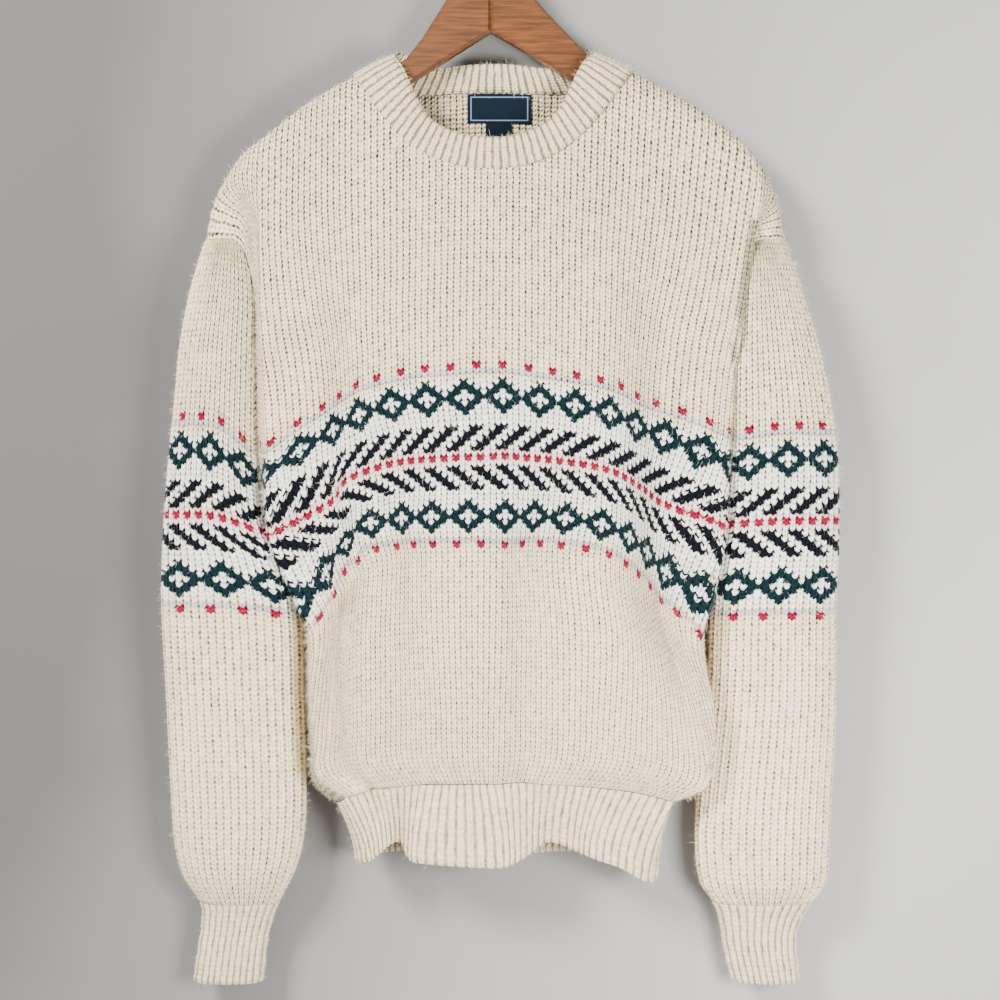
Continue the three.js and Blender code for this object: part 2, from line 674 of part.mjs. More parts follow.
function neckband() {
  const columns = 2 * NECK_RIBS;
  const base = neckBase(columns);
  const frames = base.map(({ outer: point }, i) => {
    const reach = 6;
    const before = base[(i + columns - reach) % columns].outer;
    const along = base[(i + reach) % columns].outer.clone().sub(before);
    const backness = smooth((point.y - RIDGE_Y) / 16);
    const rise = vector(2 - point.x, 0, mix(-112, -60, backness) - point.z).normalize();
    const sideness = smooth((Math.abs(point.x) - 60) / 50);
    rise.y = mix(mix(0.25, -0.3, backness), 0, sideness);
    rise.normalize();
    const height = mix(mix(BAND_FRONT, BAND_BACK, backness), BAND_SIDE, sideness);
    return { rise, height, out: along.cross(rise).normalize() };
  });
  const at = (i, j, isOuter) => {
    const share = BAND_ROWS[j];
    const { rise, height, out } = frames[i];
    if (share === 0) return (isOuter ? base[i].outer : base[i].inner).clone().addScaledVector(rise, SEAM + 0.2);
    const round = Math.max(Math.sqrt(1 - share ** 8), 0.2);
    const full = BAND_THICK / 2 * round;
    const rib = i % 2 ? 0 : -RIB_RAISE * round;
    const offset = isOuter ? -1 + full + Math.sin(Math.PI * share) + rib : -1.5 - full;
    return base[i].outer.clone()
      .addScaledVector(rise, SEAM + 0.2 + height * share)
      .addScaledVector(out, offset);
  };
  const rows = BAND_ROWS.length - 1;
  return clothWall('neckband', columns, rows, (i, j) => at(i, j, true), (i, j) => at(i, j, false), ribWool, true);
}

group.add(neckband());

// Woven label and size tab: thin strips on the inside of the back, made from its points.
function insideStrip(name, strip) {
  const columns = 6;
  const rows = 3;
  const at = (i, j, lift) => {
    const across = strip.x + strip.width * (i / columns - 0.5);
    const down = ZERO_Z - strip.top + strip.height * j / rows;
    const surface = (a, b) => panelPoint(a, b, -1);
    const normal = outward(surface, across, down, -0.8, 0.8);
    return surface(across, down).addScaledVector(normal, -WALL - lift);
  };
  const outer = (i, j) => at(i, j, SEAM + strip.thick);
  return clothWall(name, columns, rows, outer, (i, j) => at(i, j, SEAM), wovenNavy);
}

group.add(insideStrip('neck_label', LABEL));
group.add(insideStrip('size_tab', TAB));

// Hanger arms: flat boards sawn to a sloping outline, with their edges bevelled.
function hangerArm(side) {
  const sign = side === 'left' ? -1 : 1;
  const suffix = side === 'left' ? 'Left' : 'Right';
  const steps = 16;
  const first = ARM[0][0];
  const last = ARM[ARM.length - 1][0];
  const outline = new THREE.Shape();
  for (let i = 0; i <= steps; i += 1) {
    const out = mix(first, last, (i / steps) ** 1.3);
    const z = armAt(out)[`top${suffix}`];
    if (i === 0) outline.moveTo(sign * out, z);
    else outline.lineTo(sign * out, z);
  }
  for (let i = steps; i >= 0; i -= 1) {
    const out = mix(first, last, (i / steps) ** 1.3);
    outline.lineTo(sign * out, armAt(out)[`foot${suffix}`]);
  }
  const geometry = new THREE.ExtrudeGeometry(outline, {
    depth: ARM_THICK - 2 * ARM_BEVEL,
    bevelEnabled: true,
    bevelThickness: ARM_BEVEL,
    bevelSize: ARM_BEVEL,
    bevelOffset: -ARM_BEVEL,
    bevelSegments: 1,
  });
  geometry.rotateX(Math.PI / 2);
  geometry.translate(0, ARM_THICK / 2 - ARM_BEVEL, 0);
  const mesh = new THREE.Mesh(geometry, wood);
  mesh.name = `hanger_arm_${side}`;
  return mesh;
}

group.add(hangerArm('left'));
group.add(hangerArm('right'));

// Hook: round wire that rises from the wood and bends round to one side.
function hook() {
  const radius = HOOK_INSIDE + WIRE / 2;
  const centreZ = -HOOK_INSIDE;
  const points = [vector(0, 0, HOOK_FOOT_Z), vector(0, 0, -57), vector(1.5, 0, -49)];
  for (let degrees = -66; degrees <= 204; degrees += 18) {
    const angle = THREE.MathUtils.degToRad(degrees);
    points.push(vector(radius * Math.cos(angle), 0, centreZ + radius * Math.sin(angle)));
  }
  const round = new THREE.Shape();
  round.absarc(0, 0, WIRE / 2, 0, 2 * Math.PI);
  const geometry = new THREE.ExtrudeGeometry(round, {
    extrudePath: new THREE.CatmullRomCurve3(points),
    steps: 30,
    curveSegments: 4,
  });
  const mesh = new THREE.Mesh(geometry, chrome);
  mesh.name = 'hook';
  return mesh;
}

group.add(hook());

export default group;
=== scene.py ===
import math

import bpy
import numpy as np
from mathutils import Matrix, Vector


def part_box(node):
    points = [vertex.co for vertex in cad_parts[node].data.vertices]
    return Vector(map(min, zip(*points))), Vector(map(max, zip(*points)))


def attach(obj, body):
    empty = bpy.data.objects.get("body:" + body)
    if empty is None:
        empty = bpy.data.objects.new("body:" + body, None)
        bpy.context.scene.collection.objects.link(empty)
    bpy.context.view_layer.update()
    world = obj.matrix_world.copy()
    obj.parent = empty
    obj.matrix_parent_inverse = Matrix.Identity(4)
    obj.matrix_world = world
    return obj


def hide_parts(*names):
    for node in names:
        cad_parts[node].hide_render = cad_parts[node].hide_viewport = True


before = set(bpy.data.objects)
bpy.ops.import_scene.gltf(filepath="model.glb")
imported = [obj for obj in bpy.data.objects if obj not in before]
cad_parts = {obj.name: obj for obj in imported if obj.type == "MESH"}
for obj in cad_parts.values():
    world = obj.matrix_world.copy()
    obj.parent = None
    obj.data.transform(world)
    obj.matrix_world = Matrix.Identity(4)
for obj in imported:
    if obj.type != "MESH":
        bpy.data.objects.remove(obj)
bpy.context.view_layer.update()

# Camera: straight at the front, as in the photograph, level with the middle of the jumper
# and 1.5 m from it, with both sleeves and the hanger's shoulders in the picture.
lens = bpy.data.cameras.new("camera")
lens.sensor_width = 36
lens.lens = 62.8
camera = bpy.data.objects.new("camera", lens)
camera.location = (0.0077, -1.5, -0.5336)
camera.rotation_euler = (math.pi / 2, 0, 0)
bpy.context.scene.collection.objects.link(camera)
bpy.context.scene.camera = camera


# Front: the body's front panel, of soft cream wool in stocking stitch, hung over the hanger.
# It is worked out in cloth millimetres: across from the middle, 50 stitches to each side,
# and down from the shoulder, 148 rows to the hem rib. Every stitch is a V of the mesh.
STITCH = 5.2
ROW = 4.13
SEAM = 0.3
WALL = 3.0
HALF_WIDTH = 50 * STITCH
ROWS = 148
LENGTH = ROWS * ROW
ZERO_Z = -161
NECK_HALF = 125
FRONT_NECK = 92
BACK_NECK = 17
SHOULDER_SLOPE = 45
RIDGE_Y = 2
RIDGE_ROUND = 22
RIDGE_FADE = 60
BACK_Y = 22
TIP_Z = -312.6
UNDERARM_Z = -583.5
UNDERARM_ROW = 345
VISIBLE = {"left": 40 * STITCH, "right": 45 * STITCH}
SAG_AT = 38 * STITCH
# The body's shape by rows: half widths, how far the rows sag at each side, the power of
# the sag's curve, and the depth in front of the hanger's plane.
BODY = [
    ("down", "left", "right", "sag_left", "sag_right", "curve", "depth"),
    (0, 196, 222, 62, 58, 2.4, 20),
    (90, 196, 218, 61, 56, 2.4, 25),
    (180, 193, 208, 60, 52, 2.4, 38),
    (264, 188, 202, 60, 48, 2.4, 44),
    (339, 188, 198, 49, 47, 2.5, 47),
    (370, 172, 190, 52, 47, 2.9, 48),
    (413, 151, 176, 60, 47, 3.4, 48),
    (480, 150, 188, 44, 40, 3.4, 48),
    (550, 148, 186, 22, 24, 3.0, 46),
    (590, 146, 180, 12, 16, 2.6, 40),
    (611.3, 122, 154, 10, 9, 3, 35),
]
# Soft folds: place at the top and at the foot, rows they run between, depth of the trough,
# step in depth, how far the cloth outside has dropped, half width. They fade in and out.
FOLD_FADE = 40
FRONT_FOLDS = [
    (-140, -140, 300, 425, 0, 12, 13, 7),
    (-135, -132, 170, 330, 5, 10, 0, 16),
    (140, 150, 150, 400, 0, 14, 0, 22),
    (-177, -170, 400, 650, 13, 0, 0, 12),
    (-92, -96, 470, 680, 5, 0, 0, 14),
    (28, 44, 385, 680, 10, 0, 0, 15),
    (185, 190, 440, 640, 4, 0, 0, 13),
]
BACK_FOLDS = [
    (-120, -105, 140, 660, 5, 0, 0, 18),
    (35, 50, 300, 680, 7, 0, 0, 15),
    (150, 140, 200, 600, 4, 0, 0, 20),
]
# The shoulder ridge by the place across the cloth, then the side seams and the sleeves'
# tubes by height: near and far are their sides at -X and +X, deep is half their depth.
SHOULDER = [
    ("along", "x_left", "z_left", "x_right", "z_right"),
    (125, -118, -169.5, 122, -166),
    (150, -141, -182, 147, -179),
    (180, -168, -200, 178, -197),
    (205, -193, -220, 204, -216),
    (225, -212, -235.5, 225, -235.5),
    (240, -227, -257, 237, -256),
    (250, -238, -280, 246, -280),
    (260, -246, -312.6, 252.8, -312.6),
]
SIDE = [
    ("z", "left", "right", "y"),
    (-583.5, -173.6, 193.1, -8),
    (-620, -159, 182.5, -7),
    (-700, -155, 178.5, -6),
    (-745, -153, 175, -6),
    (-775, -149, 168, -6),
    (-791, -131, 149, -5),
]
LEFT_TUBE = [
    ("z", "near", "far", "deep"),
    (-312.6, -246, -207, 20),
    (-334, -251.2, -201.3, 26),
    (-361.6, -258, -197.4, 29),
    (-404.6, -265.6, -197, 30),
    (-447.6, -269.6, -197.3, 30),
    (-490.6, -274, -197, 30),
    (-533.6, -277.8, -194, 30),
    (-560, -279.4, -188, 30),
    (-583.5, -280.4, -174, 30),
    (-619.6, -281.4, -163, 29),
    (-705.6, -277.4, -160, 27),
    (-791.6, -273.5, -158.5, 25),
    (-830.3, -270.5, -162, 24),
    (-856, -264, -170.3, 21.5),
    (-880, -250.5, -183, 16.5),
    (-897, -249.6, -189.5, 14.5),
    (-915.4, -252, -193.5, 14),
    (-949, -257, -197, 14),
]
RIGHT_TUBE = [
    ("z", "near", "far", "deep"),
    (-312.6, 216.7, 252.8, 20),
    (-334, 213.5, 259.7, 26),
    (-361.6, 209.8, 267.4, 29),
    (-404.6, 205.8, 280.3, 30),
    (-447.6, 204, 289.8, 30),
    (-490.6, 202.9, 295.4, 30),
    (-533.6, 200.3, 297, 30),
    (-583.5, 193.5, 296.5, 30),
    (-619.6, 188, 294.5, 29),
    (-705.6, 184.5, 294.9, 27),
    (-791.6, 175.8, 291.5, 25),
    (-830.3, 174.5, 290, 24),
    (-862, 179.5, 287.5, 21.5),
    (-880, 191.5, 276.5, 17),
    (-897, 197.5, 267, 14.5),
    (-915.4, 200.3, 263.4, 14),
    (-949, 208, 266.8, 14),
]
# Sleeve sections are circles drawn towards boxes by this power. BESIDE is how far the panels
# keep off the sleeves' inner sides, and PUSHED how far they give way at most past the
# angle FRONT_FROM.
SQUARENESS = 2 / 2.3
ARMHOLE_ANGLE = 0.36
SEAM_STEPS = 120
BESIDE = 2.2
PUSHED = 4
FRONT_FROM = 0.6


def curve_through(table):
    """Reads a table at any places along its first column, by the smooth curve (a cubic for
    each span, with the slope between neighbours) that runs through its rows."""
    names = table[0][1:]
    rows = np.array(table[1:], float)
    sign = 1 if rows[0, 0] < rows[-1, 0] else -1
    keys, values = sign * rows[:, 0], rows[:, 1:]
    last = len(keys) - 1
    before = np.clip(np.arange(last + 1) - 1, 0, last)
    after = np.clip(np.arange(last + 1) + 1, 0, last)
    slopes = (values[after] - values[before]) / (keys[after] - keys[before])[:, None]

    def at(where):
        where = sign * np.asarray(where, float)
        i = np.clip(np.searchsorted(keys, where) - 1, 0, last - 1)
        span = (keys[i + 1] - keys[i])[..., None]
        t = np.clip((where - keys[i])[..., None] / span, 0, 1)
        found = (2 * t**3 - 3 * t**2 + 1) * values[i] + (3 * t**2 - 2 * t**3) * values[i + 1]
        found += (t**3 - 2 * t**2 + t) * span * slopes[i] + (t**3 - t**2) * span * slopes[i + 1]
        return {name: found[..., k] for k, name in enumerate(names)}

    return at


body_at = curve_through(BODY)
shoulder_at = curve_through(SHOULDER)
side_at = curve_through(SIDE)
tube_at = {"left": curve_through(LEFT_TUBE), "right": curve_through(RIGHT_TUBE)}


def mix(a, b, t):
    """The value that is the share t of the way from a to b."""
    return a + (b - a) * t


def smooth(t):
    """0 below 0 and 1 above 1, with a smooth cubic step between them."""
    u = np.clip(t, 0, 1)
    return u * u * (3 - 2 * u)


def together(*values):
    """Values spread to one shape and joined as coordinates."""
    return np.stack(np.broadcast_arrays(*values), -1)


def tube_point(side, z, angle):
    """A point of a sleeve's rounded box section at height z. The angle is 0 at -X and a
    quarter turn at the front."""
    section = tube_at[side](z)
    middle = (section["near"] + section["far"]) / 2
    wide = (section["far"] - section["near"]) / 2
    deep = section["deep"]
    cos, sin = np.cos(angle), np.sin(angle)
    x = middle - wide * np.sign(cos) * np.abs(cos) ** SQUARENESS
    y = BACK_Y - deep - deep * np.sign(sin) * np.abs(sin) ** SQUARENESS
    return together(x, y, z)


def armhole_z(inner):
    """Height of the armhole seam at an angle from the sleeve's inner side: steep there, by
    an exponential, and level over the top."""
    return TIP_Z - (TIP_Z - UNDERARM_Z) * np.exp(-((np.abs(inner) / ARMHOLE_ANGLE) ** 1.5))


def armhole_line(side, face):
    """The armhole seam as a row of points from the shoulder tip down to the underarm."""
    inner = np.pi * (1 - np.arange(SEAM_STEPS + 1) / SEAM_STEPS) ** 1.7
    angle = np.pi - inner if side == "left" else inner
    return tube_point(side, armhole_z(inner), face * angle)


armholes = {(side, face): armhole_line(side, face) for side in tube_at for face in (1, -1)}
steps = np.linalg.norm(np.diff(armholes["left", 1], axis=0), axis=1)
seam_shares = np.concatenate([[0], np.cumsum(steps)]) / steps.sum()


def edge_point(side, down, face):
    """A panel's edge: along the armhole seam to the underarm, then down the side seam."""
    towards = 1 if side == "left" else -1
    share = np.clip((down - SHOULDER_SLOPE) / (UNDERARM_ROW - SHOULDER_SLOPE), 0, 1)
    line = armholes[side, face]
    upper = np.stack([np.interp(share, seam_shares, line[:, k]) for k in range(3)], -1)
    upper = upper + np.array([towards * (SEAM + 0.1), 0, SEAM + 0.1])
    z = mix(UNDERARM_Z, SIDE[-1][0], (down - UNDERARM_ROW) / (LENGTH - UNDERARM_ROW))
    found = side_at(z)
    lower = together(found[side] + towards * 0.1, found["y"] - face * SEAM / 2, z)
    return np.where((down < UNDERARM_ROW)[..., None], upper, lower)


def folds_at(folds, across, down):
    """Sums of the folds at a place: depth inwards, drop, and the width they use up. A
    trough is a bell curve over its width, a step a hyperbolic tangent."""
    inward, slide, used, used_all = (np.zeros(across.shape) for _ in range(4))
    for start_at, end_at, start, end, trough, step, drop, width in folds:
        side = np.sign(start_at)
        power = smooth((down - start) / FOLD_FADE) * smooth((end - down) / FOLD_FADE)
        middle = mix(start_at, end_at, np.clip((down - start) / (end - start), 0, 1))
        u = (across - middle) / width
        past = (1 + np.tanh(side * u)) / 2
        taken = power * (0.5 * trough**2 + 0.33 * step**2) / width
        inward += power * (trough * np.exp(-u * u / 2) + step * past)
        slide += power * drop * past
        same = np.sign(across) == side
        used += np.where(same, taken * past, 0)
        used_all += np.where(same, taken, 0)
    return inward, slide, used, used_all


def shoulder_line(across):
    """Rows cast off from the neck to the shoulder tip, in mm, as a power curve."""
    out = np.maximum(np.abs(across) - NECK_HALF, 0) / (HALF_WIDTH - NECK_HALF)
    return SHOULDER_SLOPE * out**1.5


def top_line(across, face):
    """Upper edge of a panel: the neck's scoop inside the neck seam, else the shoulder."""
    depth, power = (FRONT_NECK, 2.3) if face > 0 else (BACK_NECK, 4)
    scoop = depth * (1 - np.minimum(np.abs(across / NECK_HALF), 1) ** power)
    return np.where(np.abs(across) < NECK_HALF, scoop, shoulder_line(across))


def beside_sleeve(side, point):
    """Moves points that would be inside a sleeve's tube sideways to just off its surface."""
    x, y, z = point[..., 0], point[..., 1], point[..., 2]
    section = tube_at[side](z)
    share = np.abs(y - BACK_Y + section["deep"]) / section["deep"]
    inner = np.arcsin(np.clip(share, 0, 1) ** (1 / SQUARENESS))
    blocked = (share < 1) & (z <= TIP_Z) & (z <= armhole_z(inner))
    middle = (section["near"] + section["far"]) / 2
    wide = (section["far"] - section["near"]) / 2 + BESIDE
    reach = wide * np.cos(inner) ** SQUARENESS
    moved = np.maximum(x, middle + reach) if side == "left" else np.minimum(x, middle - reach)
    near = x + np.clip(moved - x, -PUSHED, PUSHED)
    moved = np.where(inner < FRONT_FROM, moved, near)
    return together(np.where(blocked, moved, x), y, z)


def plain_panel(across, down, face):
    """A panel's point before the shoulder ridge: straight rows that sag by a power curve,
    less the folds; past the visible width it bends round to the edge."""
    left = across < 0
    sign = np.where(left, -1.0, 1.0)
    limit = np.where(left, VISIBLE["left"], VISIBLE["right"])
    out = np.abs(across)
    inside = np.minimum(out, limit)
    row = body_at(down)
    folds = FRONT_FOLDS if face > 0 else BACK_FOLDS
    inward, slide, used, used_all = folds_at(folds, sign * inside, down)
    half = np.where(left, row["left"], row["right"])
    sag = np.where(left, row["sag_left"], row["sag_right"]) * (inside / SAG_AT) ** row["curve"]
    x = sign * half * (inside - used) / (limit - used_all)
    y = (-row["depth"] if face > 0 else BACK_Y) + face * inward
    point = together(x, y, ZERO_Z - down - sag - slide)
    u = np.clip((out - limit) / (HALF_WIDTH - limit), 0, 1)
    sides = [edge_point(side, down, face) for side in ("left", "right")]
    edge = np.where(left[..., None], *sides)
    early = 1 - (1 - u) ** 2
    share = together(early, u**1.2, early)
    bent = mix(point, edge, share)
    clear = np.where(left[..., None], *(beside_sleeve(side, bent) for side in ("left", "right")))
    between = ((u > 0) & (u < 1))[..., None]
    return np.where(between, clear, bent)


def panel_point(across, down, face):
    """A panel's point: the plain panel, drawn to the shoulder seam near it and rounded
    over towards the ridge like a quarter circle."""
    across, down = np.broadcast_arrays(np.asarray(across, float), np.asarray(down, float))
    left = across < 0
    far = np.maximum(np.abs(across), NECK_HALF)
    ridge = shoulder_at(far)
    start = plain_panel(np.where(left, -far, far), shoulder_line(far), face)
    below = np.maximum(down - shoulder_line(across), 0)
    fade = np.exp(-((below / RIDGE_FADE) ** 1.5)) * smooth((np.abs(across) - 50) / (NECK_HALF - 50))
    point = plain_panel(across, down, face)
    point[..., 0] += (np.where(left, ridge["x_left"], ridge["x_right"]) - start[..., 0]) * fade
    point[..., 2] += (np.where(left, ridge["z_left"], ridge["z_right"]) - start[..., 2]) * fade
    over = np.sqrt(1 - (1 - np.minimum(below / RIDGE_ROUND, 1)) ** 2)
    point[..., 1] = mix(RIDGE_Y - face * SEAM / 2, point[..., 1], over)
    return point


def outward(surface, a, b, step_a, step_b):
    """Outward direction of a surface, the cross product of its steps along a and b."""
    along_a = surface(a + step_a, b) - surface(a - step_a, b)
    along_b = surface(a, b + step_b) - surface(a, b - step_b)
    normal = np.cross(along_b, along_a)
    return normal / np.maximum(np.linalg.norm(normal, axis=-1, keepdims=True), 1e-9)


def grid_triangles(columns, rows, first, is_tube):
    """Triangles of a grid of columns and rows, each column starting at its own first row.
    Those that have shrunk to a line there are left out, and every one has its column and
    row kept with it."""
    across = columns if is_tube else columns + 1
    i, j = np.meshgrid(np.arange(columns), np.arange(rows), indexing="ij")

    def place(i, j):
        column = i % across
        return column * (rows + 1) + np.maximum(j, first[column])

    a, b, c, d = place(i, j), place(i, j + 1), place(i + 1, j + 1), place(i + 1, j)
    corners = together(a, b, c, a, c, d).reshape(-1, 3)
    cell = together(i, j, i, j).reshape(-1, 2)
    p, q, r = corners.T
    kept = (p != q) & (q != r) & (r != p)
    return corners[kept], cell[kept]


def rim_triangles(fine, coarse, fine_at, coarse_at):
    """Joins a finely and a coarsely divided edge: a triangle for each step of either.
    The places say where each point of the two lies along the edge."""
    near = np.searchsorted((coarse_at[1:] + coarse_at[:-1]) / 2, fine_at)
    fans = np.stack([fine[:-1], fine[1:], coarse[near[:-1]]], -1)
    steps = np.nonzero(np.diff(near))[0]
    wedges = np.stack([fine[steps + 1], coarse[near[steps + 1]], coarse[near[steps]]], -1)
    return np.concatenate([fans, wedges])


def cloth_piece(name, outer, inner, is_tube=False):
    """One closed shell from a fine outer and a coarse inner grid. Each is a dictionary of
    points, first (first row of each column), at (its column places), down (its row places)
    and uv. Returns the object and the outer triangles' cells; the rest come after them."""
    parts, shells, base = [], [], 0
    for grid in (outer, inner):
        count, rows = grid["points"].shape[:2]
        columns = count if is_tube else count - 1
        corners, cell = grid_triangles(columns, rows - 1, grid["first"], is_tube)
        parts.append(base + (corners if grid is outer else corners[:, ::-1]))
        cells = cell if grid is outer else cells
        ids = base + np.arange(count * rows).reshape(count, rows)
        round_once = np.arange(count + is_tube) % count
        at = np.append(grid["at"], grid["end"]) if is_tube else grid["at"]
        shells.append((ids, ids[round_once, grid["first"][round_once]], ids[round_once, -1], at))
        base += count * rows
    (fine, top, foot, at), (coarse, top_two, foot_two, at_two) = shells
    parts.append(rim_triangles(top, top_two, at, at_two))
    parts.append(rim_triangles(foot, foot_two, at, at_two)[:, ::-1])
    if not is_tube:
        for column, turned in ((0, True), (-1, False)):
            start, start_two = outer["first"][column], inner["first"][column]
            rim = rim_triangles(
                fine[column, start:],
                coarse[column, start_two:],
                np.maximum(outer["down"][start:], inner["down"][start_two]),
                inner["down"][start_two:],
            )
            parts.append(rim[:, ::-1] if turned else rim)
    corners = np.concatenate(parts)
    points = np.concatenate([grid["points"].reshape(-1, 3) for grid in (outer, inner)])
    uv = np.concatenate([grid["uv"].reshape(-1, 2) for grid in (outer, inner)])
    used, corners = np.unique(corners, return_inverse=True)
    corners = corners.reshape(-1, 3)
    piece = mesh_piece(name, points[used], corners)
    layer = piece.data.uv_layers.new(name="stitches")
    layer.data.foreach_set("uv", uv[used][corners.ravel()].astype(np.float32).ravel())
    return piece, cells


def mesh_piece(name, points, corners):
    """A smooth object from points in millimetres and triangles."""
    mesh = bpy.data.meshes.new(name)
    mesh.vertices.add(len(points))
    mesh.vertices.foreach_set("co", (points / 1000).astype(np.float32).ravel())
    mesh.loops.add(corners.size)
    mesh.loops.foreach_set("vertex_index", corners.astype(np.int32).ravel())
    mesh.polygons.add(len(corners))
    mesh.polygons.foreach_set("loop_start", np.arange(0, corners.size, 3, dtype=np.int32))
    mesh.update(calc_edges=True)
    mesh.polygons.foreach_set("use_smooth", np.ones(len(corners), bool))
    piece = bpy.data.objects.new(name, mesh)
    bpy.context.scene.collection.objects.link(piece)
    return piece


# Yarns: the band is worked in coloured wool from a chart of 37 rows that reads the same
# from either end. Each row says which stitches are coloured, as places in a repeat that is
# centred on the panel.
YARNS = {
    "cream": (0.96, 0.82, 0.545),
    "white": (0.96, 0.93, 0.85),
    "green": (0.0025, 0.016, 0.020),
    "black": (0.003, 0.004, 0.008),
    "red": (0.27, 0.004, 0.032),
    # The purl tone is the cream darkened as painted shade inside the jumper.
    "purl": (0.72, 0.60, 0.40),
    # The rib tone is the cream darkened as painted shade on the cuffs, hem rib and neckband.
    "rib": (0.82, 0.695, 0.465),
}
NUMBER = {name: number for number, name in enumerate(YARNS)}
YARN_COLORS = np.array(list(YARNS.values()))
# Panel rows above the chart, its middle row, the middle stitch's place in its repeat, how
# strongly the coloured fibres tint the ground around them, and rounds of blur each way.
CHART_START = 63
MIDDLE_ROW = 19
MIDDLE_STITCH = 4
HALO = 3.0
HALO_BLUR = ((0, 14), (1, 8))


def yarn_at(column, row):
    """Number of the yarn of a stitch, from its column (0 at the middle of the repeat) and
    its chart row (1 to 37 in the band): diamonds repeat every 6, the rest every 4 or 2."""
    column = np.asarray(column).astype(int)
    row = np.asarray(row).astype(int)
    mirrored = np.where(row > MIDDLE_ROW, 2 * MIDDLE_ROW - row, row)
    by_six = np.abs((column + 3) % 6 - 3)
    by_four = column % 4
    yarn = np.where((mirrored >= 3) & (mirrored <= MIDDLE_ROW), NUMBER["white"], NUMBER["cream"])
    yarn = np.where((mirrored == 1) & (by_four == 2), NUMBER["red"], yarn)
    yarn = np.where((row == MIDDLE_ROW) & (column % 2 == 0), NUMBER["red"], yarn)
    diamond = {
        4: by_six == 0,
        5: by_six <= 1,
        6: (by_six <= 2) & (by_six > 0),
        7: by_six > 1,
        8: (by_six <= 2) & (by_six > 0),
        9: by_six <= 1,
        10: by_six == 0,
    }
    for line, worked in diamond.items():
        yarn = np.where((mirrored == line) & worked, NUMBER["green"], yarn)
    zigzag = {13: (1, 2), 14: (0, 1), 15: (3, 0), 16: (2, 3), 17: (1, 2)}
    for line, worked in zigzag.items():
        yarn = np.where((mirrored == line) & np.isin(by_four, worked), NUMBER["black"], yarn)
    return yarn


def cell_yarns(column, row):
    """Yarn numbers and tints for a grid of quarter stitches and half rows. A coloured stitch
    swells over its neighbours in its upper half, and its fibres tint the ground around it:
    the ground is multiplied by the hue of the blurred colours."""
    yarn = yarn_at(column, row)
    motif = np.isin(yarn, [NUMBER[name] for name in ("green", "black", "red")])
    upper = np.arange(yarn.shape[1]) % 2 == 0
    red = yarn == NUMBER["red"]
    yarn = np.where(np.roll(red & upper, -1, axis=1), NUMBER["red"], yarn)
    for step in (1, -1):
        beside = np.roll(yarn, step, axis=0)
        swollen = np.roll(motif, step, axis=0) & ~motif & upper
        yarn = np.where(swollen, beside, yarn)
    colors = YARN_COLORS[yarn]
    soft = colors
    for axis, times in HALO_BLUR:
        for _ in range(times):
            soft = (np.roll(soft, 1, axis) + 2 * soft + np.roll(soft, -1, axis)) / 4
    ground = np.isin(yarn, [NUMBER[name] for name in ("cream", "white")])
    tint = soft / colors
    tint = 1 + HALO * ground[..., None] * (tint / tint.max(-1, keepdims=True) - 1)
    return yarn, np.maximum(tint, 0.3)


def paint(piece, yarn, tint=None):
    """Gives every triangle the colour of its yarn, from a list of yarn numbers, and the
    tint to the first ones."""
    colors = np.ones((len(yarn), 4), np.float32)
    colors[:, :3] = YARN_COLORS[yarn]
    if tint is not None:
        colors[: len(tint), :3] *= tint
    layer = piece.data.attributes.new("yarn", "FLOAT_COLOR", "CORNER")
    layer.data.foreach_set("color", np.repeat(colors, 3, axis=0).ravel())
    side = piece.data.attributes.new("purl", "FLOAT", "FACE")
    side.data.foreach_set("value", (yarn == NUMBER["purl"]).astype(np.float32))


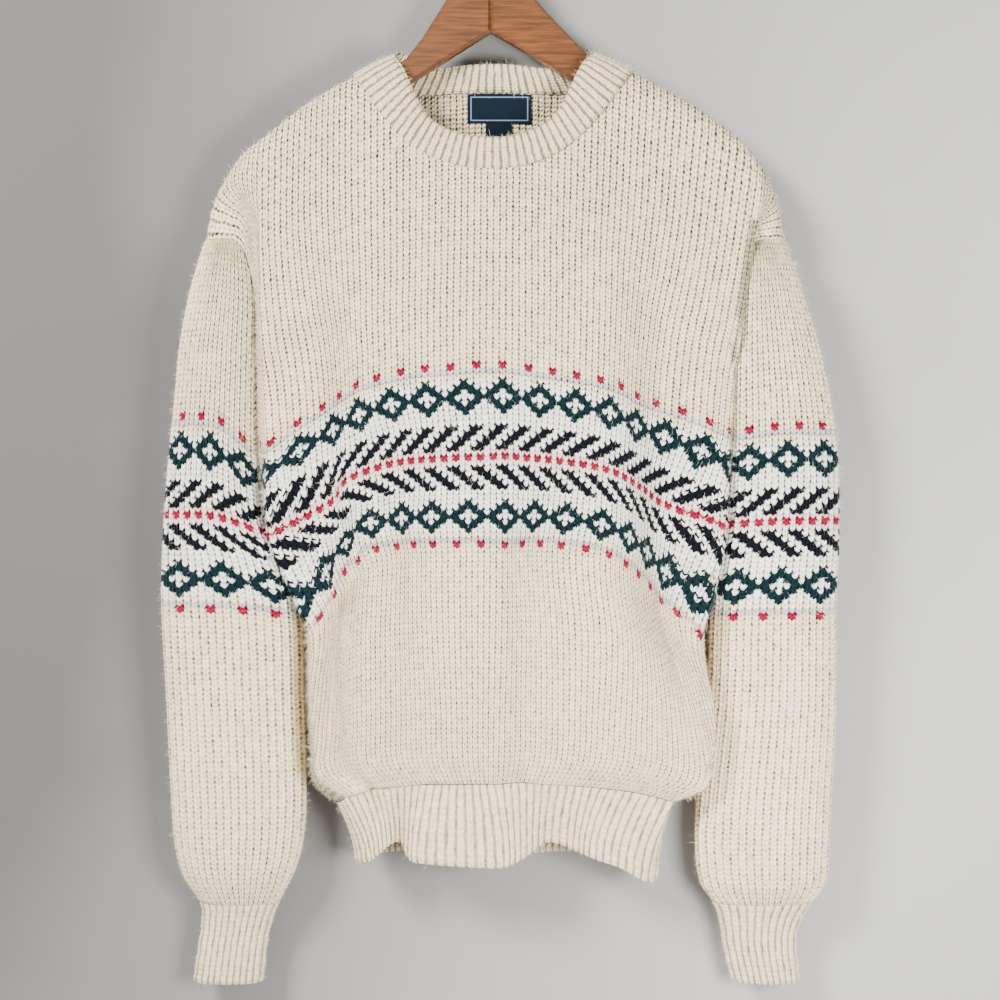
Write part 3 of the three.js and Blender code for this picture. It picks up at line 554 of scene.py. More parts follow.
class Nodes:
    """Short calls for the nodes of one material."""

    def __init__(self, name):
        self.material = bpy.data.materials.new(name)
        self.material.use_nodes = True
        self.tree = self.material.node_tree
        self.shader = self.tree.nodes["Principled BSDF"]

    def set(self, socket, value):
        if isinstance(value, bpy.types.NodeSocket):
            self.tree.links.new(value, socket)
        elif value is not None:
            socket.default_value = value

    def add(self, kind, inputs=(), **settings):
        node = self.tree.nodes.new(kind)
        for name, value in settings.items():
            setattr(node, name, value)
        for name, value in dict(inputs).items():
            self.set(node.inputs[name], value)
        return node

    def finish(self, inputs):
        """Sets the shader's inputs and returns the material."""
        for name, value in inputs.items():
            self.set(self.shader.inputs[name], value)
        return self.material

    def maths(self, operation, a, b=None):
        return self.add("ShaderNodeMath", {0: a, 1: b}, operation=operation).outputs[0]

    def plus(self, a, b):
        return self.maths("ADD", a, b)

    def minus(self, a, b):
        return self.maths("SUBTRACT", a, b)

    def times(self, a, b):
        return self.maths("MULTIPLY", a, b)

    def power(self, a, b):
        return self.maths("POWER", a, b)

    def larger(self, a, b):
        return self.maths("MAXIMUM", a, b)

    def line(self, value, slope, start):
        """A straight line: the value times the slope, plus the start."""
        return self.plus(self.times(value, slope), start)

    def humps(self, operation, value, turn=math.pi):
        """The absolute sine or cosine of a value times the turn: one hump to each whole."""
        return self.maths("ABSOLUTE", self.maths(operation, self.times(value, turn)))

    def place(self):
        return self.add("ShaderNodeTexCoord").outputs["Object"]

    def split(self, vector):
        return self.add("ShaderNodeSeparateXYZ", {"Vector": vector}).outputs

    def joined(self, x, y, z=0.0):
        return self.add("ShaderNodeCombineXYZ", {"X": x, "Y": y, "Z": z}).outputs[0]

    def attribute(self, name, output):
        return self.add("ShaderNodeAttribute", attribute_name=name).outputs[output]

    def noise(self, scale, detail=2.0, vector=None):
        inputs = {"Vector": vector or self.place(), "Scale": scale, "Detail": detail}
        return self.add("ShaderNodeTexNoise", inputs).outputs["Fac"]

    def blend(self, factor, a, b, kind="MIX"):
        settings = {"data_type": "RGBA", "blend_type": kind}
        return self.add("ShaderNodeMix", {0: factor, 6: a, 7: b}, **settings).outputs[2]

    def bump(self, height, distance, strength, normal=None):
        inputs = {"Height": height, "Distance": distance, "Strength": strength, "Normal": normal}
        return self.add("ShaderNodeBump", inputs).outputs["Normal"]


def wool_material(name, hole_shade_depth, middle_shade, groove_shade):
    """Fluffy wool: the yarn's colour with painted shade in the holes at each border between
    stitches, fainter painted shade between the legs, half a row apart, and down a groove along
    the border; the painted shade takes a little more green and blue than red. Noise bends the
    lines and makes the holes and strands uneven; the cloth is more open higher up, so the
    painted hole shade is stronger there. The purl side has rows of low arcs. The UV map counts
    stitches across and rows down."""
    n = Nodes(name)
    place = n.place()
    stitches = n.split(n.add("ShaderNodeUVMap", uv_map="stitches").outputs["UV"])
    wander = n.add("ShaderNodeTexNoise", {"Vector": place, "Scale": 170.0, "Detail": 1.0})
    shifts = n.add("ShaderNodeSeparateColor", {"Color": wander.outputs["Color"]}).outputs
    column = n.plus(stitches["X"], n.times(n.minus(shifts[0], 0.5), 0.3))
    row = n.plus(stitches["Y"], n.times(n.minus(shifts[1], 0.5), 0.9))
    leg = n.humps("SINE", column, 2 * math.pi)
    border = n.humps("SINE", column)
    ridge = n.humps("COSINE", row)
    between = n.times(n.power(border, 4.5), n.power(n.minus(1.0, ridge), 0.4))
    gap = n.power(n.minus(1.0, n.humps("SINE", n.minus(row, 0.4))), 0.6)
    middle = n.times(n.power(n.humps("COSINE", column), 6.0), n.times(gap, middle_shade))
    groove = n.times(n.power(border, 4.0), groove_shade)
    uneven = n.line(n.noise(150.0), 1.6, 0.2)
    hole = n.times(n.larger(n.larger(between, middle), groove), uneven)
    open_knit = n.line(n.larger(n.split(place)["Z"], -0.75), 0.8, 1.55)
    hole = n.maths("MINIMUM", n.times(hole, open_knit), 1.0)
    streaks = n.joined(n.times(column, 2.6), n.times(row, 0.7))
    strand = n.line(n.noise(1.0, 2.0, streaks), 0.5, 0.78)
    tufts = n.noise(260.0, 3.0)
    patches = n.line(n.noise(14.0), 0.16, 0.90)
    light = n.times(n.times(patches, n.line(tufts, 0.24, 0.88)), strand)
    # Painted shade: the holes darken the yarn's colour, its green and blue a little more than red.
    hole_shade = n.minus(1.0, n.times(hole, hole_shade_depth))
    tone = n.times(light, hole_shade)
    green_share = n.times(tone, n.line(hole_shade, 0.06, 0.94))
    blue_share = n.times(tone, n.line(hole_shade, 0.2, 0.8))
    shaded = n.joined(tone, green_share, blue_share)
    knit = n.times(leg, n.line(ridge, 0.6, 0.4))
    sway = n.times(n.maths("SINE", n.times(column, 2 * math.pi)), 0.25)
    arcs = n.maths("SINE", n.times(n.plus(row, sway), 2 * math.pi))
    sides = {0: n.attribute("purl", "Fac"), 2: knit, 3: n.line(arcs, 0.5, 0.5)}
    height = n.add("ShaderNodeMix", sides).outputs[0]
    ply = n.plus(n.times(row, 2.0), n.times(leg, 0.7))
    fibres = n.line(n.humps("SINE", ply), 0.25, n.noise(1500.0, 3.0))
    rough = n.bump(n.plus(fibres, n.times(tufts, 1.5)), 0.0004, 0.7)
    return n.finish({
        "Base Color": n.blend(1.0, n.attribute("yarn", "Color"), shaded, "MULTIPLY"),
        "Normal": n.bump(height, 0.0012, 0.8, rough),
        "Roughness": 0.95,
        "Specular IOR Level": 0.05,
        "Sheen Weight": 0.12,
        "Sheen Roughness": 0.45,
    })


wool = wool_material("wool", 0.97, 0.6, 0.4)

fluff = Nodes("fluff")
fluff.finish({
    "Base Color": fluff.attribute("yarn", "Color"),
    "Roughness": 1.0,
    "Specular IOR Level": 0.0,
})
HAIR_WIDTH = 0.15
HAIR_LEAN = (0.15, 0.65)
HAIR_HALF_LENGTH = (1.2, 3.2)
HAIR_BEND = 0.45
HAIRS = {"front": 60000, "back": 25000, "sleeve": 22000}


def hairs(piece, yarn, count, seed):
    """Loose fibres on a piece: bent slivers of two triangles, each rooted at a random spot
    of the outer cloth and leaning out of it, in the yarn's colour there."""
    random = np.random.default_rng(seed)
    mesh = piece.data
    points = np.empty(len(mesh.vertices) * 3, np.float32)
    mesh.vertices.foreach_get("co", points)
    points = points.reshape(-1, 3) * 1000.0
    ids = np.empty(len(mesh.loops), np.int32)
    mesh.loops.foreach_get("vertex_index", ids)
    p, q, r = (points[k] for k in ids.reshape(-1, 3)[: len(yarn)].T)
    normal = np.cross(q - p, r - p)
    area = np.linalg.norm(normal, axis=1)
    even = np.minimum(area, 2 * np.median(area))
    chosen = random.choice(len(area), count, p=even / even.sum())
    a, b = random.random((2, count, 1))
    a, b = np.where(a + b > 1, 1 - a, a), np.where(a + b > 1, 1 - b, b)
    root = p[chosen] + (q - p)[chosen] * a + (r - p)[chosen] * b
    out = normal[chosen] / np.maximum(area[chosen], 1e-9)[:, None]
    along = np.cross(out, random.normal(size=(count, 3)))
    along /= np.maximum(np.linalg.norm(along, axis=1, keepdims=True), 1e-9)
    way = along + out * random.uniform(*HAIR_LEAN, (count, 1))
    half = random.uniform(*HAIR_HALF_LENGTH, (count, 1))
    middle = root + way * half
    tip = middle + (way + random.normal(0, HAIR_BEND, (count, 3))) * half
    wide = np.cross(way, out)
    wide *= HAIR_WIDTH / 2 / np.maximum(np.linalg.norm(wide, axis=1, keepdims=True), 1e-9)
    corners = np.arange(count)[:, None] * 4 + np.array([0, 1, 2, 1, 3, 2])
    all_points = np.stack([root, middle + wide, middle - wide, tip], 1).reshape(-1, 3)
    fuzz = mesh_piece(piece.name.replace("knit", "fluff"), all_points, corners.reshape(-1, 3))
    paint(fuzz, np.repeat(yarn[chosen], 2))
    fuzz.data.materials.append(fluff.material)
    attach(fuzz, "root")
    return fuzz


# The zigzag of the row lines, in rows, the relief of a stitch in millimetres, and how many
# lines of the outside grid go to one of the plain inside.
ZIGZAG = 0.6
RELIEF = 1.5
COARSE = 8
# Stitch columns that are divided in quarters, in the front (1) and the back (-1).
FINE_COLUMNS = {1: (-34, 38), -1: (-36, 36)}
# Where each stitch column lies across the panel: the knitting is closer at the sides.
COLUMNS = [
    ("stitch", "across"),
    (-50, -260),
    (-37, -208),
    (-22, -128),
    (22, 128),
    (40.5, 234),
    (50, 260),
]
# The band is drawn askew by the folds: where the stitches of chart rows 1, 19 and 37 lie
# across the front panel, and how far they are shifted down it.
BAND_LINES = [
    ("stitch", "across_1", "shift_1", "across_19", "shift_19", "across_37", "shift_37"),
    (-50, -260, -18, -260, -12, -260, -18),
    (-42, -232, -12, -222, -5, -223, -8),
    (-38, -205, -5, -196, -1, -195, -4),
    (-34, -180, -4, -171, 1, -177, -9),
    (-30, -157, -4, -150, 0, -161, -21),
    (-26, -141, -6, -132, 1, -146, -20),
    (-22, -124, -7, -111, -1, -125, -12),
    (-18, -104, -6, -90, -2, -104, -8),
    (-14, -82, -5, -71, -2, -86, -6),
    (-10, -60, -4, -52, -1, -65, -4),
    (-6, -37, -3, -31, -1, -38, -3),
    (-2, -13, -4, -9, -1, -11, -3),
    (2, 11, -4, 14, -2, 16, -2),
    (6, 36, -2, 35, -1, 36, -3),
    (10, 59, -1, 56, -1, 56, -4),
    (14, 82, -1, 78, -1, 79, -4),
    (18, 105, -2, 101, -2, 106, -5),
    (22, 125, -2, 122, -2, 131, -6),
    (26, 142, 0, 139, 0, 150, -5),
    (30, 161, -2, 153, 2, 164, -3),
    (34, 187, -8, 167, 5, 177, 0),
    (38, 213, -15, 188, 2, 189, 4),
    (42, 233, -21, 217, -8, 206, 0),
    (50, 260, -24, 260, -18, 260, -14),
]


def column_places(fine):
    """Stitch columns of a panel as counts from its middle stitch: quarters of a stitch in
    the fine part, halves beside it."""
    start, end = fine
    beside, beyond = np.arange(-50, start, 0.5), np.arange(end, 50.01, 0.5)
    return np.concatenate([beside, np.arange(start, end, 0.25), beyond])


def laid_out(places, down):
    """Where the front panel's grid points lie: the plain columns at its top and foot, and
    between them the lines of the band, each blended smoothly into the next."""
    lines = curve_through(BAND_LINES)(places)
    plain = np.interp(places, *np.array(COLUMNS[1:], float).T)
    across = [plain] + [lines[f"across_{k}"] for k in (1, 19, 37)] + [plain]
    shift = [0 * plain] + [lines[f"shift_{k}"] for k in (1, 19, 37)] + [0 * plain]
    where = np.interp(down / ROW - CHART_START, [-44, 1.5, 19.5, 37.5, 80], np.arange(5))
    span = np.minimum(where.astype(int), 3)
    column = np.arange(len(places))[:, None]
    share = smooth(where - span)
    found = []
    for values in (np.array(across), np.array(shift)):
        found.append(mix(values[span, column], values[span + 1, column], share))
    return np.clip(found[0], -HALF_WIDTH, HALF_WIDTH), down + found[1]


def row_lines(places, rows, spacing, length):
    """How far down each grid point lies: half rows that rise towards the borders of a
    stitch, the absolute value of its place across. The first and last line are straight."""
    border = np.abs(2 * ((places + 0.5) % 1) - 1)[:, None]
    lines = np.arange(-1, 2 * rows + 1)[None, :]
    down = np.minimum((lines / 2 + ZIGZAG / 2 - ZIGZAG * border) * spacing, length)
    down[:, -1] = length
    return down, border, lines


def first_lines(above):
    """The grid line that each column starts with: the last one above the upper edge."""
    return np.maximum(above.sum(1) - 1, 0)


def coarse_lines(count):
    """The grid lines that the plain inside keeps, with the last one."""
    return np.unique(np.append(np.arange(0, count, COARSE), count - 1))


def stitch_relief(border, lines, quarter):
    """Height of a grid point over the plain cloth: legs high, the gaps beside them low."""
    leg = np.where(quarter, 1 - np.abs(2 * border - 1), 1 - border)
    ridge = 1.0 * (lines % 2 == 0)
    hole = (0.5 * (border > 0.9) + 0.15 * (border < 0.1)) * (1 - ridge)
    return RELIEF * (-0.45 + leg * (0.7 + 0.2 * ridge) + 0.15 * ridge * (1 - leg) - hole)


def paint_band(piece, cells, column, row):
    """Paints a piece from a grid of chart places, which its outer triangles' cells point
    to, and its inside in the purl tone, the cream darkened as painted shade. Returns the outer
    triangles' yarn numbers."""
    grid_yarn, grid_tint = cell_yarns(*np.broadcast_arrays(column, row))
    yarn = np.full(len(piece.data.polygons), NUMBER["purl"])
    yarn[: len(cells)] = grid_yarn[cells[:, 0], cells[:, 1]]
    paint(piece, yarn, grid_tint[cells[:, 0], cells[:, 1]])
    piece.data.materials.append(wool)
    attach(piece, "root")
    return yarn[: len(cells)]


def panel_piece(name, face):
    """A body panel: the fine grid of stitches outside, and a plain coarse grid inside."""
    start, end = FINE_COLUMNS[face]
    places = column_places(FINE_COLUMNS[face])
    down, border, lines = row_lines(places, ROWS, ROW, LENGTH)
    if face > 0:
        across, down = laid_out(places, down)
        down = np.minimum(down, LENGTH)
        down[:, -1] = LENGTH
    else:
        across = np.interp(places, *np.array(COLUMNS[1:], float).T)[:, None]
    across = np.broadcast_to(across, down.shape)
    top = top_line(across, face)
    first = first_lines(down <= top)
    down = np.maximum(down, top)

    def surface(a, b):
        return panel_point(a, b, face)

    inside = np.clip(across, 1 - HALF_WIDTH, HALF_WIDTH - 1)
    above = np.clip(down, top_line(inside, face) + 1, LENGTH - 1)
    normal = outward(surface, inside, above, face * 0.8, 0.8)
    quarter = ((places >= start) & (places < end))[:, None]
    edge = np.minimum(smooth((down - top) / 5), smooth((LENGTH - down) / 4))
    edge = edge * smooth((HALF_WIDTH - np.abs(across)) / 10)
    relief = stitch_relief(border, lines, quarter) * edge - 0.25 * (1 - edge)
    plain = surface(across, down)
    outer = {
        "points": plain + normal * relief[..., None],
        "first": first,
        "at": places,
        "down": np.arange(down.shape[1], dtype=float),
        "uv": together(places[:, None], lines / 2),
    }
    columns, rows = coarse_lines(len(places)), coarse_lines(down.shape[1])
    some = np.ix_(columns, rows)
    depth = WALL - 0.2 * smooth((down - top) / 5)
    inner = {
        "points": (plain - normal * depth[..., None])[some],
        "first": first_lines(down[some] <= top[some]),
        "at": places[columns],
        "down": rows.astype(float),
        "uv": outer["uv"][some],
    }
    if face < 0:
        for grid in (outer, inner):
            for key in ("points", "first", "uv"):
                grid[key] = grid[key][::-1]
            grid["at"] = -grid["at"][::-1]
    piece, cells = cloth_piece(name, outer, inner)
    if face < 0:
        cells[:, 0] = len(places) - 2 - cells[:, 0]
    column = np.floor((places[1:] + places[:-1]) / 2 + 0.5)[:, None] + MIDDLE_STITCH
    row = np.arange(down.shape[1] - 1)[None, :] // 2 - CHART_START
    yarn = paint_band(piece, cells, column, row)
    fuzz = hairs(piece, yarn, HAIRS["front" if face > 0 else "back"], 5 + face)
    return piece


front = panel_piece("front_knit", 1)
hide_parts("front")

# Back: the same panel of cream wool with the band in it, knitted with a shallow neck edge
# and hung with softer folds. It joins the front along the shoulders and the sides.
back = panel_piece("back_knit", -1)
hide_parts("back")


# Sleeves: tubes of 36 stitches of the same wool, sewn in at the armhole seams. Their rows
# droop towards the body, most at the top of the band. Each pair in the rows' table is a
# chart row and its height. TUCK is how far the first rows start above the seam.
CUFF_Z = -880
SLEEVE_STITCHES = 36
TUCK = 2.5
SPACED_AT = -600
DEPTH_WEIGHT = 0.2
SLEEVE_ROWS = {
    "left": [(-32, -309), (1, -464), (19, -547), (37, -626), (95, -880)],
    "right": [(-34, -309), (1, -472), (19, -552), (37, -632), (94, -880)],
}
DROOP = [(-34, 0), (-31, 1), (-10, 24), (1, 24), (19, 14), (37, 6), (55, 0), (100, 0)]
DROOP_SHARE = {"left": 1.0, "right": 0.2}


def even_angles(side, places, z):
    """Angles round a tube that are evenly spaced along its outline, measured from angle 0.
    Depth counts for less than width, because the cloth is flatter in front and behind."""
    angle = np.linspace(0, 2 * np.pi, 721)
    line = tube_point(side, np.full(angle.shape, float(z)), angle)
    steps = np.linalg.norm(np.diff(line, axis=0) * (1, DEPTH_WEIGHT, 1), axis=1)
    length = np.concatenate([[0], np.cumsum(steps)])
    return np.interp(places * length[-1], length, angle)


def tube_normal(side, z, angle):
    """Outward direction of a tube, from nearby points of it."""

    def surface(a, b):
        return tube_point(side, b, a)

    return outward(surface, angle, z, 0.02, -1.0)


def sleeve_piece(side):
    """A sleeve: fine stitches outside from the armhole seam to the cuff, plain inside."""
    name = "sleeve_" + side
    places = np.arange(0, SLEEVE_STITCHES, 0.25)
    table = np.array(SLEEVE_ROWS[side], float)
    first_row, last_row = int(table[0, 0]), int(table[-1, 0])
    down, border, lines = row_lines(places, last_row - first_row, 1.0, last_row - first_row)
    chart = down + first_row
    angle = even_angles(side, places / SLEEVE_STITCHES, SPACED_AT)[:, None]
    inner_side = np.pi if side == "left" else 0
    away = np.abs((angle - inner_side + np.pi) % (2 * np.pi) - np.pi)
    droop = np.interp(chart, *np.array(DROOP, float).T) * smooth((1.75 - away) / 1.3)
    z = np.interp(chart, table[:, 0], table[:, 1]) - droop * DROOP_SHARE[side]
    top = armhole_z(away) + TUCK
    first = first_lines(z >= top)
    z = np.maximum(np.minimum(z, top), CUFF_Z)
    angle = np.broadcast_to(angle, z.shape)
    normal = tube_normal(side, np.clip(z, CUFF_Z + 2, TIP_Z - 2), angle)
    edge = smooth((z - CUFF_Z) / 4)
    relief = stitch_relief(border, lines, np.ones((len(places), 1), bool))
    relief = relief * edge - 0.25 * (1 - edge)
    relief = mix(-1.4, relief, smooth((top - z) / 4))
    plain = tube_point(side, z, angle)
    uv = together(places[:, None], lines / 2)
    outer = {"points": plain + normal * relief[..., None], "first": first, "uv": uv}
    outer.update(at=places, end=SLEEVE_STITCHES)
    columns = np.arange(0, len(places), COARSE)
    some = np.ix_(columns, coarse_lines(z.shape[1]))
    inner = {"points": (plain - normal * WALL)[some], "uv": uv[some]}
    inner.update(first=first_lines(z[some] >= top[columns]), at=places[columns], end=SLEEVE_STITCHES)
    piece, cells = cloth_piece(name + "_knit", outer, inner, is_tube=True)
    column = np.floor((np.arange(len(places)) + 0.5) / 4 + 0.5 - SLEEVE_STITCHES / 4)[:, None]
    row = np.arange(z.shape[1])[None, :] // 2 + first_row
    yarn = paint_band(piece, cells, column, row)
    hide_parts(name)
    fuzz = hairs(piece, yarn, HAIRS["sleeve"], len(side))


for side in tube_at:
    sleeve_piece(side)


# Cuffs: ribs of one stitch with deep grooves between them, in a firmer yarn whose darker
# tone is painted shade, over a plain inside. They are knitted on to the sleeves' ends and
# pull them in.
CUFF_END_Z = -949
CUFF_RIBS = 22
RIB_PARTS = 8
RIB_DEPTH = 1.5
FOOT_ROUND = 2.5
FOOT_IN = 1.3
CUFF_STITCHES = 16
CUFF_SPACED_AT = -915
rib_wool = wool_material("rib wool", 0.75, 0.45, 0.8)


def rib_wave(places):
    """Height of the ribs by place, from 0 to 1: a raised cosine to a power, which rounds
    the ribs and narrows the grooves."""
    return (0.5 + 0.5 * np.cos(2 * np.pi * places)) ** 0.7


def foot_in(share, length):
    """How far the lower edge is rounded in, by a quarter circle over its last part."""
    past = np.clip((share * length - length) / FOOT_ROUND + 1, 0, 1)
    return FOOT_IN * (np.sqrt(1 - past**2) - 1)


def rib_height(places, share, rows):
    """Height over the plain cloth: the ribs, and a low cosine of the stitches down them."""
    ribs = RIB_DEPTH * (rib_wave(places)[:, None] - 0.6)
    return ribs + 0.25 * np.cos(2 * np.pi * share * rows)


def paint_ribs(piece, cells):
    """Ribs are all of one yarn, darkened as painted shade; the inside shows its purl side, also
    darkened as painted shade. Returns their fibres.
    """
    yarn = np.full(len(piece.data.polygons), NUMBER["purl"])
    yarn[: len(cells)] = NUMBER["rib"]
    paint(piece, yarn)
    piece.data.materials.append(rib_wool)
    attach(piece, "root")
    return hairs(piece, yarn[: len(cells)], len(cells) // 5, len(cells))


def rib_piece(name, grid, plain, normal, lift, row_step, is_tube=False):
    """A ribbed piece: ribs outside, lifted off the plain cloth, and the cloth's other side
    inside, with every fourth column and some of the rows."""
    none = np.zeros(len(plain), int)
    down = np.arange(float(plain.shape[1]))
    outer = {**grid, "points": plain + normal * lift[..., None], "first": none, "down": down}
    some = np.ix_(np.arange(0, len(plain), 4), np.arange(0, len(down), row_step))
    inner = {**grid, "points": (plain - normal * WALL)[some], "first": none[::4]}
    inner.update(uv=grid["uv"][some], at=grid["at"][::4], down=down[::row_step])
    piece, cells = cloth_piece(name + "_knit", outer, inner, is_tube)
    fuzz = paint_ribs(piece, cells)
    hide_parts(name)
    return piece, fuzz


def cuff_piece(side):
    """A cuff: ribs all round the lower end of the tube, rounded at the lower edge."""
    places = np.arange(0, CUFF_RIBS, 1 / RIB_PARTS)
    share = np.arange(21) / 20
    z = mix(CUFF_Z - SEAM, CUFF_END_Z, share)[None, :]
    angle = even_angles(side, places / CUFF_RIBS, CUFF_SPACED_AT)[:, None]
    angle, z = np.broadcast_arrays(angle, z)
    normal = tube_normal(side, np.clip(z, CUFF_END_Z + 2, CUFF_Z - 2), angle)
    lift = rib_height(places, share, CUFF_STITCHES) + foot_in(share, CUFF_Z - CUFF_END_Z)
    uv = together(places[:, None], share * CUFF_STITCHES)
    grid = {"at": places, "end": CUFF_RIBS, "uv": uv}
    plain = tube_point(side, z, angle)
    piece, fuzz = rib_piece("cuff_" + side, grid, plain, normal, lift, 4, is_tube=True)


for side in tube_at:
    cuff_piece(side)


# Hem rib: front and back halves in the same firm ribs, knitted on to the panels' lower
# edges. They pull the body in, and the lower edge hangs in waves.
HEM_RIBS = 50
HEM_STITCHES = 12
HEM_LENGTH = 50
FRONT_HEM = [
    ("across", "x", "y", "z"),
    (-1, -112, -4, -838),
    (-0.92, -115, -14, -842),
    (-0.8, -103, -30, -838.5),
    (-0.64, -89, -34, -827),
    (-0.5, -77, -21, -824),
    (-0.43, -71, -30, -835),
    (-0.34, -62, -38, -838),
    (0, 7.7, -42, -841.5),
    (0.12, 23, -38, -837),
    (0.22, 35.4, -28, -831),
    (0.32, 48, -20, -824.5),
    (0.44, 66.5, -30, -827.6),
    (0.6, 85, -37, -834.3),
    (0.76, 110, -39, -842.7),
    (0.88, 129.5, -35, -854),
    (0.95, 140.5, -22, -855),
    (1, 143, -4, -846),
]
BACK_HEM = [
    ("across", "x", "y", "z"),
    (-1, -112, -4, -838),
    (-0.9, -110, 10, -841),
    (-0.6, -76, 18, -838),
    (-0.25, -28, 14, -836),
    (0.1, 20, 19, -841),
    (0.4, 62, 13, -838),
    (0.7, 104, 18, -843),
    (0.9, 134, 10, -850),
    (1, 143, -4, -846),
]


def hem_piece(name, face):
    """Half of the hem rib: its upper edge is the panel's lower one, its lower edge is read
    from the table; it draws in by a sine on the way down."""
    places = np.linspace(-HEM_RIBS / 2, HEM_RIBS / 2, HEM_RIBS * RIB_PARTS + 1)
    share = np.arange(23) / 22
    hem_at = curve_through(FRONT_HEM if face > 0 else BACK_HEM)

    def surface(across, share):
        top = panel_point(across, np.full(np.shape(across), LENGTH), face)
        foot = hem_at(across / HALF_WIDTH)
        x = mix(top[..., 0], foot["x"], np.sin(share * np.pi / 2))
        y = mix(top[..., 1], foot["y"] - face * SEAM / 2, share)
        return together(x, y, mix(top[..., 2] - 2 * SEAM, foot["z"], share))

    across, down = np.broadcast_arrays(face * places[:, None] / HEM_RIBS * 2 * HALF_WIDTH, share)
    inside = np.clip(across, 4 - HALF_WIDTH, HALF_WIDTH - 4)
    normal = outward(surface, inside, np.clip(down, 0.02, 0.98), face * 4, 0.02)
    ribs = rib_height(places, share, HEM_STITCHES) + 0.3
    lift = ribs * smooth((HALF_WIDTH - np.abs(across)) / 6) + foot_in(share, HEM_LENGTH)
    grid = {"at": places, "uv": together(places[:, None], share * HEM_STITCHES)}
    piece, fuzz = rib_piece(name, grid, surface(across, down), normal, lift, 2)


hem_piece("hem_rib_front", 1)
hem_piece("hem_rib_back", -1)


# Neckband: a doubled band of the rib, in one loop that stands on the neck edges of both
# panels. BAND gives its height in front, over the shoulders and at the back, how thick it
# is, and how far the ribs stand out.
NECK_RIBS = 80
BAND = {"front": 29, "side": 38, "back": 24, "thick": 5.5, "rib": 1.3}
BAND_STITCHES = 9


def neck_piece():
    """The neckband: at each place of the neck edge a profile that rises, folds over and
    comes down inside, leaning in a little in front and at the back, with ribs on it."""
    count = NECK_RIBS * RIB_PARTS
    half = np.linspace(-NECK_HALF, NECK_HALF, 800, endpoint=False)
    edges = []
    for face in (1, -1):
        across = face * half
        edges.append(panel_point(across, top_line(across, face), face))
    line = np.concatenate(edges)
    steps = np.linalg.norm(np.roll(line, -1, axis=0) - line, axis=1)
    length = np.concatenate([[0], np.cumsum(steps)])
    closed = np.concatenate([line, line[:1]])
    wanted = length[-1] * np.arange(count) / count
    base = np.stack([np.interp(wanted, length, closed[:, k]) for k in range(3)], -1)
    along = np.roll(base, -24, axis=0) - np.roll(base, 24, axis=0)
    backness = smooth((base[:, 1] - RIDGE_Y) / 16)
    sideness = smooth((np.abs(base[:, 0]) - 60) / 50)
    rise = together(2 - base[:, 0], 0, mix(-112, -60, backness) - base[:, 2])
    rise /= np.linalg.norm(rise, axis=1, keepdims=True)
    rise[:, 1] = mix(mix(0.25, -0.3, backness), 0, sideness)
    rise /= np.linalg.norm(rise, axis=1, keepdims=True)
    height = mix(mix(BAND["front"], BAND["back"], backness), BAND["side"], sideness)[:, None]
    out = np.cross(along, rise)
    out /= np.linalg.norm(out, axis=1, keepdims=True)
    places = np.arange(count) / RIB_PARTS

    def band_point(share, is_outer):
        round_off = np.maximum(np.sqrt(1 - np.clip((share - 0.86) / 0.14, 0, 1) ** 2), 0.02)
        full = BAND["thick"] / 2 * round_off
        rib = BAND["rib"] * rib_wave(places)[:, None]
        rib = (rib + 0.2 * np.cos(2 * np.pi * share * BAND_STITCHES)) * round_off
        if is_outer:
            offset = -2.1 + full + np.sin(np.pi * share) + rib
        else:
            offset = -0.7 - full - rib
        lift = 0.1 + height * share
        return base[:, None] + rise[:, None] * lift[..., None] + out[:, None] * offset[..., None]

    def band_grid(rows, is_outer, step):
        share = (1 - np.arange(rows + 1) / rows)[None, :] ** 0.8
        return {
            "points": band_point(share, is_outer)[::step],
            "first": np.zeros(count // step, int),
            "uv": together(places[::step, None], share * BAND_STITCHES),
            "at": places[::step],
            "end": NECK_RIBS,
        }

    outer, inner = band_grid(16, True, 1), band_grid(8, False, 2)
    piece, _ = cloth_piece("neckband_knit", outer, inner, is_tube=True)
    fuzz = paint_ribs(piece, piece.data.polygons)
    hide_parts("neckband")


neck_piece()


# Label and size tab: bare woven strips of navy cloth, sewn to the inside of the back below
# the neckband. The label has a thin paler line just inside its edge.
NAVY = (0.002, 0.007, 0.015)
PALE_BLUE = (0.25, 0.33, 0.42, 1)
LINE_IN = 0.0032
LINE_HALF_WIDTH = 0.0005


def woven_material(name, frame_box=None):
    """Close-woven navy cloth: fine waves both ways, and a pale line where the distance
    beyond a rectangle, given by its middle and half sides in metres, is about nought."""
    n = Nodes(name)
    place = n.place()
    weave = n.add("ShaderNodeTexWave", {"Vector": place, "Scale": 700.0}, bands_direction="Z")
    weave_x = n.add("ShaderNodeTexWave", {"Vector": place, "Scale": 500.0}, bands_direction="X")
    shade = n.line(n.noise(900.0), 0.5, 0.75)
    base = n.blend(1.0, (*NAVY, 1), n.joined(shade, shade, shade), "MULTIPLY")
    if frame_box:
        x_middle, z_middle, half_x, half_z = frame_box
        x = n.maths("ABSOLUTE", n.minus(n.split(place)["X"], x_middle))
        z = n.maths("ABSOLUTE", n.minus(n.split(place)["Z"], z_middle))
        far = n.larger(n.minus(x, half_x), n.minus(z, half_z))
        line = n.maths("LESS_THAN", n.maths("ABSOLUTE", far), LINE_HALF_WIDTH)
        base = n.blend(n.times(line, 0.55), base, PALE_BLUE)
    height = n.plus(weave.outputs["Fac"], weave_x.outputs["Fac"])
    return n.finish({
        "Base Color": base,
        "Normal": n.bump(height, 0.0002, 0.5),
        "Roughness": 0.8,
        "Specular IOR Level": 0.1,
    })


def repaint(name, material):
    """Gives a solid a material in place of its own."""
    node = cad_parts[name]
    for slot in node.material_slots:
        slot.material = material
    if not node.material_slots:
        node.data.materials.append(material)


